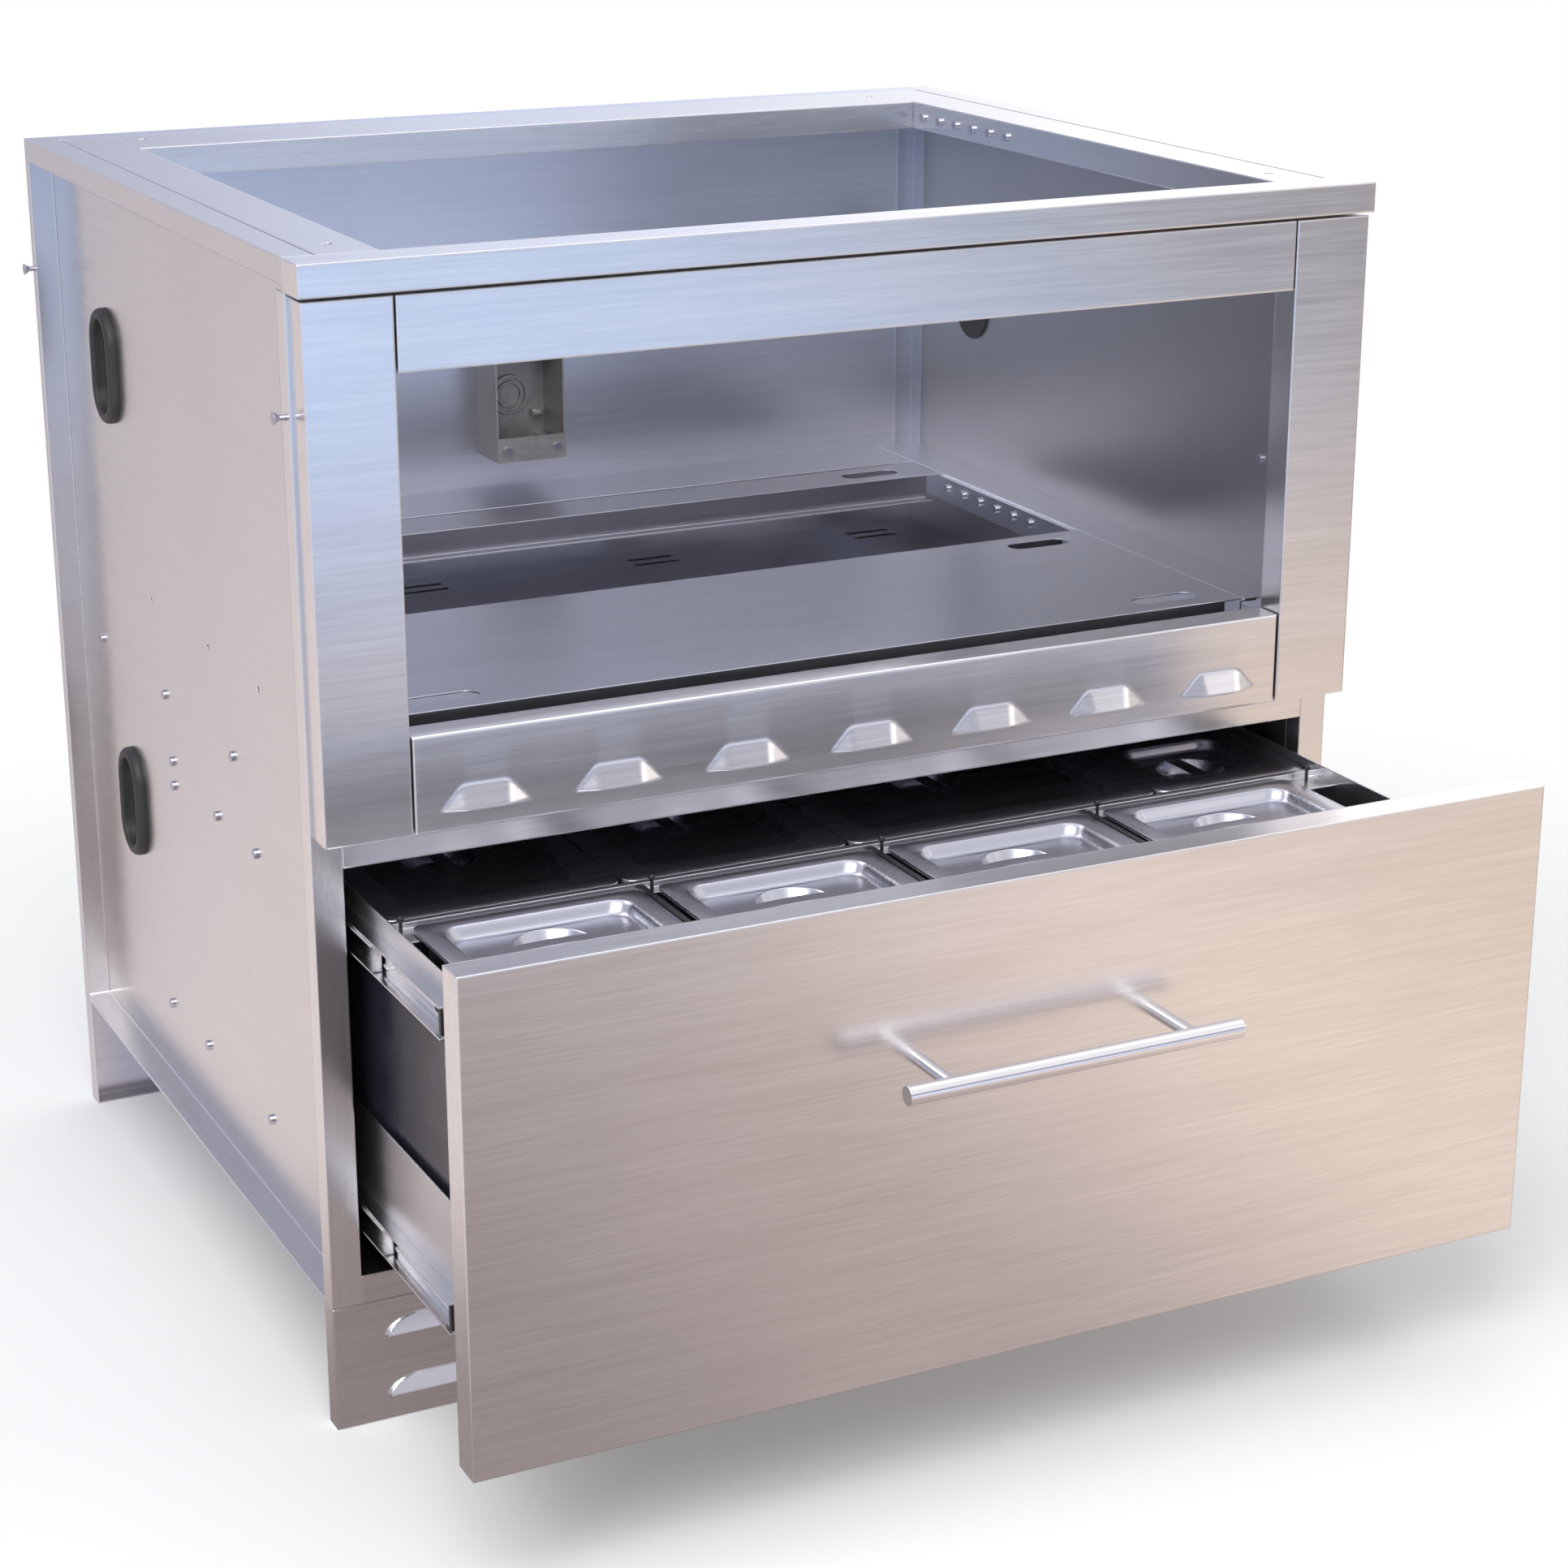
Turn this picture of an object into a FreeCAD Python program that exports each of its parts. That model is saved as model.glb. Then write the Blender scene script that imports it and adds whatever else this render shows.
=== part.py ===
import FreeCAD, Part
import os
import re

# Warming drawer cabinet for an outdoor kitchen: open appliance bay above, one wide drawer of pans below.
# Millimetres, +Z up, the front faces -Y. The origin lies on the floor, in the middle of the foot of the
# front plinth panel. The drawer is drawn partly open.

doc = FreeCAD.newDocument("warming_drawer_cabinet")
sheet = doc.addObject("Spreadsheet::Sheet", "sizes")

# Driving dimensions
DRIVING = [
    # whole cabinet
    ("cab_width", 863.6),
    ("cab_height", 876.3),
    ("body_depth", 686.6),
    ("gauge", 1.2),
    ("plinth_height", 100.0),
    ("toe_depth", 18.0),
    ("run_gap", 0.4),
    # posts, sides and back
    ("post_width", 23.3),
    ("post_depth", 18.0),
    ("side_lip", 18.7),
    ("rear_lip", 10.0),
    ("back_set", 23.6),
    ("rear_post_leg", 19.5),
    # open top frame
    ("rail_overhang", 30.0),
    ("rail_depth", 34.0),
    ("rail_height", 23.0),
    ("rail_drop", 24.0),
    ("rail_lip", 12.0),
    ("rail_slit", 1.5),
    ("side_rail_width", 45.0),
    ("back_rail_depth", 81.0),
    ("worktop_hole", 7.0),
    ("front_hole_set", 41.5),
    ("rear_hole_set", 17.5),
    # overlay face panels
    ("overlay_depth", 26.4),
    ("stile_width", 64.9),
    ("stile_inset", 2.4),
    ("face_gap", 1.8),
    ("reveal", 2.7),
    ("upper_height", 53.0),
    ("vent_height", 72.3),
    ("vent_gap", 4.7),
    ("return_flange", 13.0),
    # louvers of the vent panel
    ("louver_width", 69.0),
    ("louver_crown", 36.0),
    ("louver_rise", 18.0),
    ("louver_bulge", 7.0),
    ("louver_pitch", 103.0),
    ("louver_lift", 14.5),
    # eyebrow louvers of the plinth
    ("brow_length", 140.0),
    ("brow_rise", 15.0),
    ("brow_bulge", 7.0),
    ("brow_pitch", 160.0),
    ("brow_low", 19.0),
    ("brow_high", 69.0),
    # frame around the drawer opening
    ("cross_strip", 25.7),
    ("bottom_rail_height", 22.4),
    ("rail_flange", 12.0),
    # bay floor
    ("ledge_width", 42.5),
    ("ledge_leg", 25.0),
    ("ledge_lip", 4.0),
    ("fold_in", 16.6),
    ("shelf_fit", 0.6),
    ("ledge_start", 25.0),
    ("shelf_start", 28.0),
    ("shelf_depth", 253.0),
    ("shelf_fold", 18.0),
    ("finger_length", 57.0),
    ("finger_width", 20.0),
    ("finger_in", 56.0),
    ("finger_end", 27.5),
    ("channel_depth", 52.5),
    ("channel_gap", 5.0),
    ("channel_drop", 22.3),
    ("shield_drop", 78.3),
    ("shield_flange", 17.0),
    ("slot_length", 46.0),
    ("slot_width", 9.0),
    # junction box
    ("box_left", -42.0),
    ("box_width", 66.4),
    ("box_height", 100.0),
    ("box_ear", 11.0),
    ("box_depth", 48.0),
    ("box_lift", 32.0),
    ("box_wall", 1.6),
    ("cover_height", 22.0),
    ("ring_radius", 14.0),
    # cable grommets
    ("grommet_width", 58.0),
    ("grommet_height", 96.0),
    ("grommet_hole", 40.0),
    ("grommet_stand", 8.0),
    ("grommet_wall", 3.0),
    ("grommet_web", 2.0),
    ("grommet_y", 117.0),
    ("grommet_low", 228.0),
    ("grommet_high", 606.0),
    # fasteners
    ("screw_head", 8.0),
    ("screw_dome", 2.4),
    ("screw_shank", 4.0),
    ("screw_clear", 0.3),
    ("rail_screw_pitch", 30.0),
    ("rail_screw_set", 20.0),
    ("stud_length", 9.0),
    ("stud_head", 9.4),
    ("stud_collar", 6.0),
    ("stud_drop", 108.8),
    # drawer front and handle
    ("front_height", 361.3),
    ("front_depth", 25.4),
    ("front_flange", 60.0),
    ("front_inset", 1.7),
    ("front_lift", 2.0),
    ("front_gap", 1.0),
    ("drawer_open", 253.6),
    ("handle_length", 266.0),
    ("handle_bar_d", 14.0),
    ("handle_post_d", 10.0),
    ("handle_centres", 192.0),
    ("handle_stand", 51.0),
    ("handle_drop", 119.3),
    # drawer box
    ("drawer_tail", 79.6),
    ("wall_drop", 45.8),
    ("box_floor_lift", 48.0),
    ("slide_space", 13.2),
    ("slide_length", 450.0),
    ("slide_start", 82.0),
    ("slide_lead", 6.0),
    ("slide_height", 24.0),
    ("slide_top_set", 28.5),
    ("slide_low_set", 19.0),
    ("twin_set", 10.5),
    ("window_low", 99.0),
    ("window_height", 123.0),
    # pans and lids
    ("pan_gap", 12.6),
    ("pan_left", 15.6),
    ("pan_right", 30.8),
    ("pan_start", 98.6),
    ("pan_front", 108.0),
    ("pan_tail", 40.0),
    ("row_gap", 12.0),
    ("rear_gap", 2.0),
    ("rear_side", 1.4),
    ("rear_share", 0.234),
    ("half_share", 0.344),
    ("pan_depth", 100.0),
    ("pan_rim", 8.0),
    ("pan_wall", 1.0),
    ("rim_thick", 1.4),
    ("lid_thick", 2.0),
    ("lid_flange", 14.0),
    ("rear_flange", 22.0),
    ("lid_recess", 8.7),
    ("lid_sheet", 1.2),
    ("grip_radius", 28.0),
    ("grip_depth", 12.0),
    ("grip_bridge", 13.0),
    ("deck_drop", 6.5),
    ("bar_thick", 1.6),
    ("bar_web", 26.0),
    ("divider_width", 5.0),
    ("hook_radius", 1.3),
    ("hook_height", 11.0),
    # warming bin and heater
    ("bin_in", 4.0),
    ("bin_start", 30.0),
    ("bin_end", 20.0),
    ("bin_drop", 35.0),
    ("bin_height", 138.0),
    ("heater_radius", 4.0),
    ("heater_bend", 40.0),
    ("heater_lift", 14.0),
    ("heater_half", 230.0),
    ("terminal_half", 60.0),
    ("terminal_height", 52.0),
]

for row, (alias, value) in enumerate(DRIVING, start=1):
    sheet.set("A%d" % row, alias)
    sheet.set("B%d" % row, str(value))
    sheet.setAlias("B%d" % row, alias)
doc.recompute()

ALIASES = set(alias for alias, value in DRIVING)


def bind(text):
    """Turn a formula in driving names into one that reads the sheet."""
    def prefix(match):
        word = match.group(0)
        return "sizes." + word if word in ALIASES else word
    return re.sub(r"[A-Za-z_][A-Za-z_0-9]*", prefix, str(text))


counter = [0]


def fresh(kind):
    counter[0] += 1
    return "%s_%03d" % (kind, counter[0])


def put(thing, x, y, z):
    """Place an object by formulas."""
    thing.setExpression("Placement.Base.x", bind(x))
    thing.setExpression("Placement.Base.y", bind(y))
    thing.setExpression("Placement.Base.z", bind(z))


def block(x0, x1, y0, y1, z0, z1, name=None):
    thing = doc.addObject("Part::Box", name or fresh("block"))
    thing.setExpression("Length", bind("(%s) - (%s)" % (x1, x0)))
    thing.setExpression("Width", bind("(%s) - (%s)" % (y1, y0)))
    thing.setExpression("Height", bind("(%s) - (%s)" % (z1, z0)))
    put(thing, x0, y0, z0)
    return thing


TURN = {
    "x": FreeCAD.Rotation(FreeCAD.Vector(0, 1, 0), 90),
    "y": FreeCAD.Rotation(FreeCAD.Vector(1, 0, 0), -90),
    "z": FreeCAD.Rotation(),
}


def rod(axis, x, y, z, radius, length, name=None):
    """A cylinder that starts at a point and runs along +X, +Y or +Z."""
    thing = doc.addObject("Part::Cylinder", name or fresh("rod"))
    thing.Placement = FreeCAD.Placement(FreeCAD.Vector(), TURN[axis])
    thing.setExpression("Radius", bind(radius))
    thing.setExpression("Height", bind(length))
    put(thing, x, y, z)
    return thing


def fuse(things, name=None):
    thing = doc.addObject("Part::MultiFuse", name or fresh("fuse"))
    thing.Shapes = things
    thing.Refine = True
    return thing


def cut(base, tools, name=None):
    thing = doc.addObject("Part::Cut", name or fresh("cut"))
    thing.Base = base
    thing.Tool = tools[0] if len(tools) == 1 else fuse(tools)
    thing.Refine = True
    return thing


def common(one, two, name=None):
    thing = doc.addObject("Part::Common", name or fresh("common"))
    thing.Base = one
    thing.Tool = two
    thing.Refine = True
    return thing


def group(things, name):
    thing = doc.addObject("Part::Compound", name)
    thing.Links = things
    return thing


def copy_at(master, name, x, y, z):
    """One more piece of the same shape, with its own placement."""
    thing = doc.addObject("Part::Compound", name)
    thing.Links = [master]
    put(thing, x, y, z)
    return thing


def span(side, near, far):
    """X range on one side of the cabinet from distances off the middle plane."""
    if side > 0:
        return near, far
    return "-(%s)" % far, "-(%s)" % near


def side_block(side, near, far, y0, y1, z0, z1):
    x0, x1 = span(side, near, far)
    return block(x0, x1, y0, y1, z0, z1)


def rounded(x0, x1, y0, y1, z0, z1, radius):
    """Block with round upright corners."""
    parts = [
        block(x0, x1, "(%s) + (%s)" % (y0, radius), "(%s) - (%s)" % (y1, radius), z0, z1),
        block("(%s) + (%s)" % (x0, radius), "(%s) - (%s)" % (x1, radius), y0, y1, z0, z1),
    ]
    for x in ("(%s) + (%s)" % (x0, radius), "(%s) - (%s)" % (x1, radius)):
        for y in ("(%s) + (%s)" % (y0, radius), "(%s) - (%s)" % (y1, radius)):
            parts.append(rod("z", x, y, z0, radius, "(%s) - (%s)" % (z1, z0)))
    return fuse(parts)


def obround(axis, low, high, along, width, height, up):
    """Upright obround prism along X (centred on y=along, z=up) or lying one along Z (x=along, y=up)."""
    thick = "(%s) - (%s)" % (high, low)
    if axis == "x":
        half = "(%s) / 2" % width
        reach = "((%s) - (%s)) / 2" % (height, width)
        body = block(low, high, "(%s) - %s" % (along, half), "(%s) + %s" % (along, half),
                     "(%s) - %s" % (up, reach), "(%s) + %s" % (up, reach))
        ends = [rod("x", low, along, "(%s) %s %s" % (up, sign, reach), half, thick) for sign in "+-"]
    else:
        half = "(%s) / 2" % height
        reach = "((%s) - (%s)) / 2" % (width, height)
        body = block("(%s) - %s" % (along, reach), "(%s) + %s" % (along, reach),
                     "(%s) - %s" % (up, half), "(%s) + %s" % (up, half), low, high)
        ends = [rod("z", "(%s) %s %s" % (along, sign, reach), up, low, half, thick) for sign in "+-"]
    return fuse([body] + ends)


def face_pan(x0, x1, y0, y1, z0, z1, flange="return_flange"):
    """Folded face box: front skin, four walls and return flanges around the open back."""
    shell = block(x0, x1, y0, y1, z0, z1)
    hollow = block("%s + gauge" % x0, "%s - gauge" % x1, "%s + gauge" % y0, "%s - gauge" % y1,
                   "%s + gauge" % z0, "%s - gauge" % z1)
    mouth = block("%s + %s" % (x0, flange), "%s - %s" % (x1, flange), "%s - 2 * gauge" % y1,
                  "%s + gauge" % y1, "%s + %s" % (z0, flange), "%s - %s" % (z1, flange))
    return shell, [hollow, mouth]


NODES = {}


def node(name, thing):
    thing.Label = name
    NODES[name] = thing
    return thing


# Main planes
half = "(cab_width / 2)"
inner = "(cab_width / 2 - post_width)"
body_y = "(-toe_depth / 2)"
rear_y = "(-toe_depth / 2 + body_depth)"
back_y = "(-toe_depth / 2 + body_depth - back_set)"
cut_half = "(cab_width / 2 - post_width - rail_slit - side_rail_width)"
rail_y = "(-toe_depth / 2 - rail_overhang)"
rail_rear = "(-toe_depth / 2 - rail_overhang + rail_depth)"
top_z = "cab_height"
rail_z = "(cab_height - rail_height)"
face_y = "(-toe_depth / 2 - overlay_depth)"
face_top = "(cab_height - rail_height - reveal)"
front_z0 = "(plinth_height + front_lift)"
front_z1 = "(plinth_height + front_lift + front_height)"
vent_z0 = "(plinth_height + front_lift + front_height + vent_gap)"
vent_z1 = "(plinth_height + front_lift + front_height + vent_gap + vent_height)"
shelf_z = vent_z1
cross_z = "(plinth_height + front_lift + front_height + vent_gap - cross_strip)"
shield_z = "(%s - shield_drop)" % shelf_z
drawer_y = "(-toe_depth / 2 - front_gap - drawer_open)"
drawer_depth = "(slide_length + drawer_tail)"
wall_z = "(plinth_height + front_lift + front_height - wall_drop)"
floor_z = "(plinth_height + front_lift + box_floor_lift)"
slide_zs = {"upper": "(%s - slide_top_set)" % wall_z, "lower": "(%s + slide_low_set)" % floor_z}
bay_half = "(cab_width / 2 - stile_inset - stile_width)"

# Side screw rows: distance behind the body front, for the slides and for the heat shield
# Each slide screw: distance and height off the slide's middle; the upper slides end in a pair
SLIDE_SCREWS = {
    "upper": [("slide_start + 0.27 * slide_length", "0"), ("slide_start + 0.49 * slide_length", "0"),
              ("slide_start + 0.757 * slide_length", "twin_set"),
              ("slide_start + 0.757 * slide_length", "-twin_set")],
    "lower": [("slide_start + 0.26 * slide_length", "0"), ("slide_start + 0.63 * slide_length", "0"),
              ("slide_start + 0.86 * slide_length", "0")],
}
SHIELD_SCREWS = ["0.366 * body_depth", "0.632 * body_depth", "0.906 * body_depth"]
LEDGE_HOLES = ["0.257 * body_depth", "0.441 * body_depth", "0.668 * body_depth"]
shield_row = "(%s - shield_flange / 2)" % shield_z
ledge_row = "(%s - ledge_leg / 2)" % shelf_z
hole_r = "(screw_shank / 2 + screw_clear)"


def side_spots():
    """All screw positions on one side wall as (y, z) formulas."""
    spots = []
    for level in ("upper", "lower"):
        for distance, offset in SLIDE_SCREWS[level]:
            spots.append(("%s + %s" % (body_y, distance), "%s + (%s)" % (slide_zs[level], offset)))
    for distance in SHIELD_SCREWS:
        spots.append(("%s + %s" % (body_y, distance), shield_row))
    return spots


grommet_spots = [("%s - grommet_y" % back_y, "plinth_height + grommet_low"),
                 ("%s - grommet_y" % back_y, "plinth_height + grommet_high")]
stile_screw_zs = ["%s + 0.22 * (%s - %s)" % (vent_z0, face_top, vent_z0),
                  "%s + 0.5 * (%s - %s)" % (vent_z0, face_top, vent_z0),
                  "%s + 0.783 * (%s - %s)" % (vent_z0, face_top, vent_z0)]
stile_screw_x = "(cab_width / 2 - post_width / 2)"
bay_tall = "(%s - %s)" % (rail_z, shelf_z)
wall_screw_spots = [("%s + 0.106 * body_depth" % body_y, "%s + 0.322 * %s" % (shelf_z, bay_tall)),
                    ("%s + 0.084 * body_depth" % body_y, "%s + 0.263 * %s" % (shelf_z, bay_tall))]
stud_z = "(cab_height - stud_drop)"
stud_ys = ["%s + post_depth / 2" % body_y, "%s - rear_lip / 2" % rear_y]
rail_screw_ys = ["%s - back_rail_depth - rail_screw_set - %d * rail_screw_pitch" % (back_y, step)
                 for step in range(6)]
rail_screw_z = "(cab_height - rail_drop / 2 - gauge / 2)"
ledge_screw_z = "(%s - rail_drop / 2 + gauge)" % shelf_z


# Side panels and front posts
for side, word in ((-1, "left"), (1, "right")):
    web_front = "%s + post_depth" % body_y
    panel = fuse([
        side_block(side, inner, inner + " + gauge", web_front, rear_y, "plinth_height", top_z),
        side_block(side, inner, half, rear_y + " - gauge", rear_y, "plinth_height", top_z),
        side_block(side, inner, half, rail_rear, rear_y, top_z + " - gauge", top_z),
        side_block(side, half + " - gauge", half, rail_rear, rear_y, top_z + " - side_lip", top_z),
        side_block(side, half + " - gauge", half, rear_y + " - rear_lip", rear_y, "plinth_height", top_z),
        side_block(side, inner, half, web_front, rear_y, "plinth_height", "plinth_height + gauge"),
    ])
    holes = []
    x0, x1 = span(side, inner + " - 2", inner + " + gauge + 2")
    through = "gauge + 4"
    for y, z in side_spots():
        holes.append(rod("x", x0, y, z, hole_r, through))
    for distance in LEDGE_HOLES:
        holes.append(rod("x", x0, "%s + %s" % (body_y, distance), ledge_row, hole_r, through))
    for y, z in grommet_spots:
        holes.append(obround("x", x0, x1, y, "grommet_hole + 2 * grommet_wall",
                             "grommet_height - grommet_width + grommet_hole + 2 * grommet_wall", z))
    if side > 0:
        for y, z in wall_screw_spots:
            holes.append(rod("x", x0, y, z, hole_r, through))
    lip_x = "%s - gauge - 1" % half if side > 0 else "-%s - 1" % half
    holes.append(rod("x", lip_x, stud_ys[1], stud_z, hole_r, "gauge + 2"))
    node("side_panel_" + word, cut(panel, holes, "side_panel_" + word))

    post = fuse([
        side_block(side, inner, half, body_y, body_y + " + gauge", "plinth_height", rail_z),
        side_block(side, half + " - gauge", half, body_y, web_front, "plinth_height", rail_z),
        side_block(side, inner, inner + " + gauge", body_y, web_front, "plinth_height", rail_z),
    ])
    x_mid = stile_screw_x if side > 0 else "-" + stile_screw_x
    holes = [rod("y", x_mid, body_y + " - 2", z, hole_r, "gauge + 4") for z in stile_screw_zs]
    holes.append(rod("x", lip_x, stud_ys[0], stud_z, hole_r, "gauge + 2"))
    node("front_post_" + word, cut(post, holes, "front_post_" + word))

    # overlay stile
    x0, x1 = span(side, bay_half, half + " - stile_inset")
    shell, hollow = face_pan(x0, x1, face_y, body_y, vent_z0, face_top)
    holes = [rod("y", x_mid, body_y + " - gauge - 1", z, hole_r, "gauge + 2") for z in stile_screw_zs]
    node("stile_" + word, cut(shell, hollow + holes, "stile_" + word))

    # side rail of the top frame
    outer = inner + " - rail_slit"
    rail = fuse([
        side_block(side, cut_half, outer, rail_rear, back_y, top_z + " - gauge", top_z),
        side_block(side, cut_half, cut_half + " + gauge", rail_rear, back_y, top_z + " - rail_drop", top_z),
        side_block(side, outer + " - gauge", outer, rail_rear, back_y, top_z + " - rail_lip", top_z),
    ])
    hole_x = "(%s + side_rail_width / 2)" % cut_half
    hole_x = hole_x if side > 0 else "-" + hole_x
    holes = [rod("z", hole_x, rail_rear + " + front_hole_set", top_z + " - gauge - 1",
                 "worktop_hole / 2", "gauge + 2")]
    x0, x1 = span(side, cut_half + " - 2", cut_half + " + gauge + 2")
    for y in rail_screw_ys:
        holes.append(rod("x", x0, y, rail_screw_z, hole_r, "gauge + 4"))
    node("top_rail_" + word, cut(rail, holes, "top_rail_" + word))

# Rear corner angles of the bay
angles = []
for side in (-1, 1):
    angles.append(fuse([
        side_block(side, inner + " - rear_post_leg", inner, back_y + " - gauge", back_y, shelf_z,
                   top_z + " - rail_drop"),
        side_block(side, inner + " - gauge", inner, back_y + " - rear_post_leg", back_y, shelf_z,
                   top_z + " - rail_drop"),
    ]))
node("rear_posts", group(angles, "rear_posts"))

# Back panel
node("back_panel", fuse([
    block("-" + inner, inner, back_y, back_y + " + gauge", "plinth_height", top_z),
    block("-" + inner, inner, back_y, rear_y, top_z + " - gauge", top_z),
    block("-" + inner, inner, back_y, rear_y, "plinth_height", "plinth_height + gauge"),
    block("-" + inner, "-%s + gauge" % inner, back_y, rear_y, "plinth_height", top_z),
    block(inner + " - gauge", inner, back_y, rear_y, "plinth_height", top_z),
], "back_panel"))

# Front and back rails of the top frame
node("top_rail_front", fuse([
    block("-" + half, half, rail_y, rail_y + " + gauge", rail_z, top_z),
    block("-" + half, half, rail_y, rail_rear, top_z + " - gauge", top_z),
    block("-" + half, half, rail_rear + " - gauge", rail_rear, rail_z, top_z),
    block("-" + half, half, rail_rear + " - 6", rail_rear, rail_z, rail_z + " + gauge"),
    block("-" + half, "-%s + gauge" % half, rail_y, rail_rear, rail_z, top_z),
    block(half + " - gauge", half, rail_y, rail_rear, rail_z, top_z),
], "top_rail_front"))

back_rail_front = "%s - back_rail_depth" % back_y
back_rail = fuse([
    block("-" + cut_half, cut_half, back_rail_front, back_y, top_z + " - gauge", top_z),
    block("-" + cut_half, cut_half, back_rail_front, back_rail_front + " + gauge",
          top_z + " - rail_drop", top_z),
])
rear_hole_y = "%s - back_rail_depth / 3" % back_y
back_holes = []
for x in ("-(%s - rear_hole_set)" % cut_half, "%s - rear_hole_set" % cut_half):
    back_holes.append(rod("z", x, rear_hole_y, top_z + " - gauge - 1", "worktop_hole / 2", "gauge + 2"))
node("top_rail_back", cut(back_rail, back_holes, "top_rail_back"))

# Upper overlay panel and the rail behind it
panel_half = "(%s - face_gap)" % bay_half
shell, hollow = face_pan("-" + panel_half, panel_half, face_y, body_y, face_top + " - upper_height",
                         face_top)
node("upper_panel", cut(shell, hollow, "upper_panel"))
node("upper_cross_rail", fuse([
    block("-" + inner, inner, body_y, body_y + " + gauge", face_top + " - upper_height + 3", rail_z),
    block("-" + inner, inner, body_y, body_y + " + rail_flange", face_top + " - upper_height + 3",
          face_top + " - upper_height + 3 + gauge"),
], "upper_cross_rail"))


def wedge(y_front, z_low, reach, rise, bottom_half, top_half, bulge, x_mid):
    """Prism that narrows upwards: a pressed louver's outside or inside."""
    thing = doc.addObject("Part::Wedge", fresh("wedge"))
    thing.Placement = FreeCAD.Placement(FreeCAD.Vector(), FreeCAD.Rotation(FreeCAD.Vector(1, 0, 0), 90))
    thing.setExpression("Xmin", bind("-(%s)" % bottom_half))
    thing.setExpression("Xmax", bind(bottom_half))
    thing.setExpression("X2min", bind("-(%s)" % top_half))
    thing.setExpression("X2max", bind(top_half))
    thing.setExpression("Ymin", "0")
    thing.setExpression("Ymax", bind(rise))
    thing.setExpression("Zmin", bind("-(%s)" % reach))
    thing.setExpression("Zmax", bind(bulge))
    thing.setExpression("Z2min", bind("-(%s)" % reach))
    thing.setExpression("Z2max", "0.2")
    put(thing, x_mid, y_front, z_low)
    return thing


def taper(y_front, z_low, rise, base_half, tip_half, bulge, x_mid):
    """Prism that narrows away from the panel, so that the louver's cheeks slope."""
    thing = doc.addObject("Part::Wedge", fresh("taper"))
    thing.Placement = FreeCAD.Placement(FreeCAD.Vector(), FreeCAD.Rotation(FreeCAD.Vector(0, 0, 1), 180))
    slope = "((%s) - (%s)) / (%s)" % (base_half, tip_half, bulge)
    thing.setExpression("Xmin", bind("-(%s) - 3 * %s" % (base_half, slope)))
    thing.setExpression("Xmax", bind("%s + 3 * %s" % (base_half, slope)))
    thing.setExpression("X2min", bind("-(%s)" % tip_half))
    thing.setExpression("X2max", bind(tip_half))
    thing.setExpression("Ymin", "-3")
    thing.setExpression("Ymax", bind(bulge))
    thing.setExpression("Zmin", "-1")
    thing.setExpression("Zmax", bind("%s + 1" % rise))
    thing.setExpression("Z2min", "-1")
    thing.setExpression("Z2max", bind("%s + 1" % rise))
    put(thing, x_mid, y_front, z_low)
    return thing


# Vent panel with seven pressed louvers, open at their lower edge
shell, hollow = face_pan("-" + panel_half, panel_half, face_y, body_y, vent_z0, vent_z1)
skin = cut(shell, hollow)
louver_z = "%s + louver_lift" % vent_z0
bumps = []
throats = []
for step in range(-3, 4):
    x_mid = "%d * louver_pitch" % step
    bumps.append(common(
        wedge(face_y, louver_z, "gauge / 2", "louver_rise", "louver_width / 2", "louver_crown / 2",
              "louver_bulge", x_mid),
        taper(face_y, louver_z, "louver_rise", "louver_width / 2", "louver_crown / 2 + 3",
              "louver_bulge", x_mid)))
    throats.append(common(
        wedge(face_y, louver_z + " - 0.5", "gauge + 1", "louver_rise - gauge",
              "louver_width / 2 - 2 * gauge",
              "louver_crown / 2 - gauge", "louver_bulge - gauge", x_mid),
        taper(face_y, louver_z + " - 0.5", "louver_rise - gauge", "louver_width / 2 - 2 * gauge",
              "louver_crown / 2 + 3 - gauge", "louver_bulge - gauge", x_mid)))
node("vent_panel", cut(fuse([skin] + bumps), throats, "vent_panel"))

# Frame around the drawer opening
node("drawer_top_rail", fuse([
    block("-" + inner, inner, body_y, body_y + " + gauge", cross_z, shelf_z + " - gauge"),
    block("-" + inner, inner, body_y, body_y + " + 2 * rail_flange", cross_z, cross_z + " + gauge"),
    block("-" + inner, inner, body_y, body_y + " + rail_flange", shelf_z + " - 2 * rail_flange",
          shelf_z + " - 2 * rail_flange + gauge"),
], "drawer_top_rail"))
node("bottom_rail", fuse([
    block("-" + inner, inner, body_y, body_y + " + gauge", "plinth_height",
          "plinth_height + bottom_rail_height"),
    block("-" + inner, inner, body_y, body_y + " + 2 * rail_flange",
          "plinth_height + bottom_rail_height - gauge",
          "plinth_height + bottom_rail_height"),
], "bottom_rail"))
node("cabinet_floor", block("-" + inner, inner, body_y + " + gauge", back_y, "plinth_height",
                            "plinth_height + gauge",
                            "cabinet_floor"))


def brow(x_mid, z_low, shrink):
    """Half of a flattened egg: one eyebrow louver, or its hollow."""
    egg = doc.addObject("Part::Ellipsoid", fresh("brow"))
    egg.setExpression("Radius1", bind("brow_rise - %s" % shrink))
    egg.setExpression("Radius2", bind("brow_length / 2 - 2 * %s" % shrink))
    egg.setExpression("Radius3", bind("brow_bulge - %s" % shrink))
    put(egg, x_mid, body_y, z_low)
    depth = "gauge / 2" if shrink == "0" else "gauge + 1"
    drop = "0" if shrink == "0" else "0.5"
    keep = block("%s - brow_length" % x_mid, "%s + brow_length" % x_mid, body_y + " - 2 * brow_bulge",
                 "%s + %s" % (body_y, depth), "%s - %s" % (z_low, drop), "%s + 2 * brow_rise" % z_low)
    return common(egg, keep)


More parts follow.
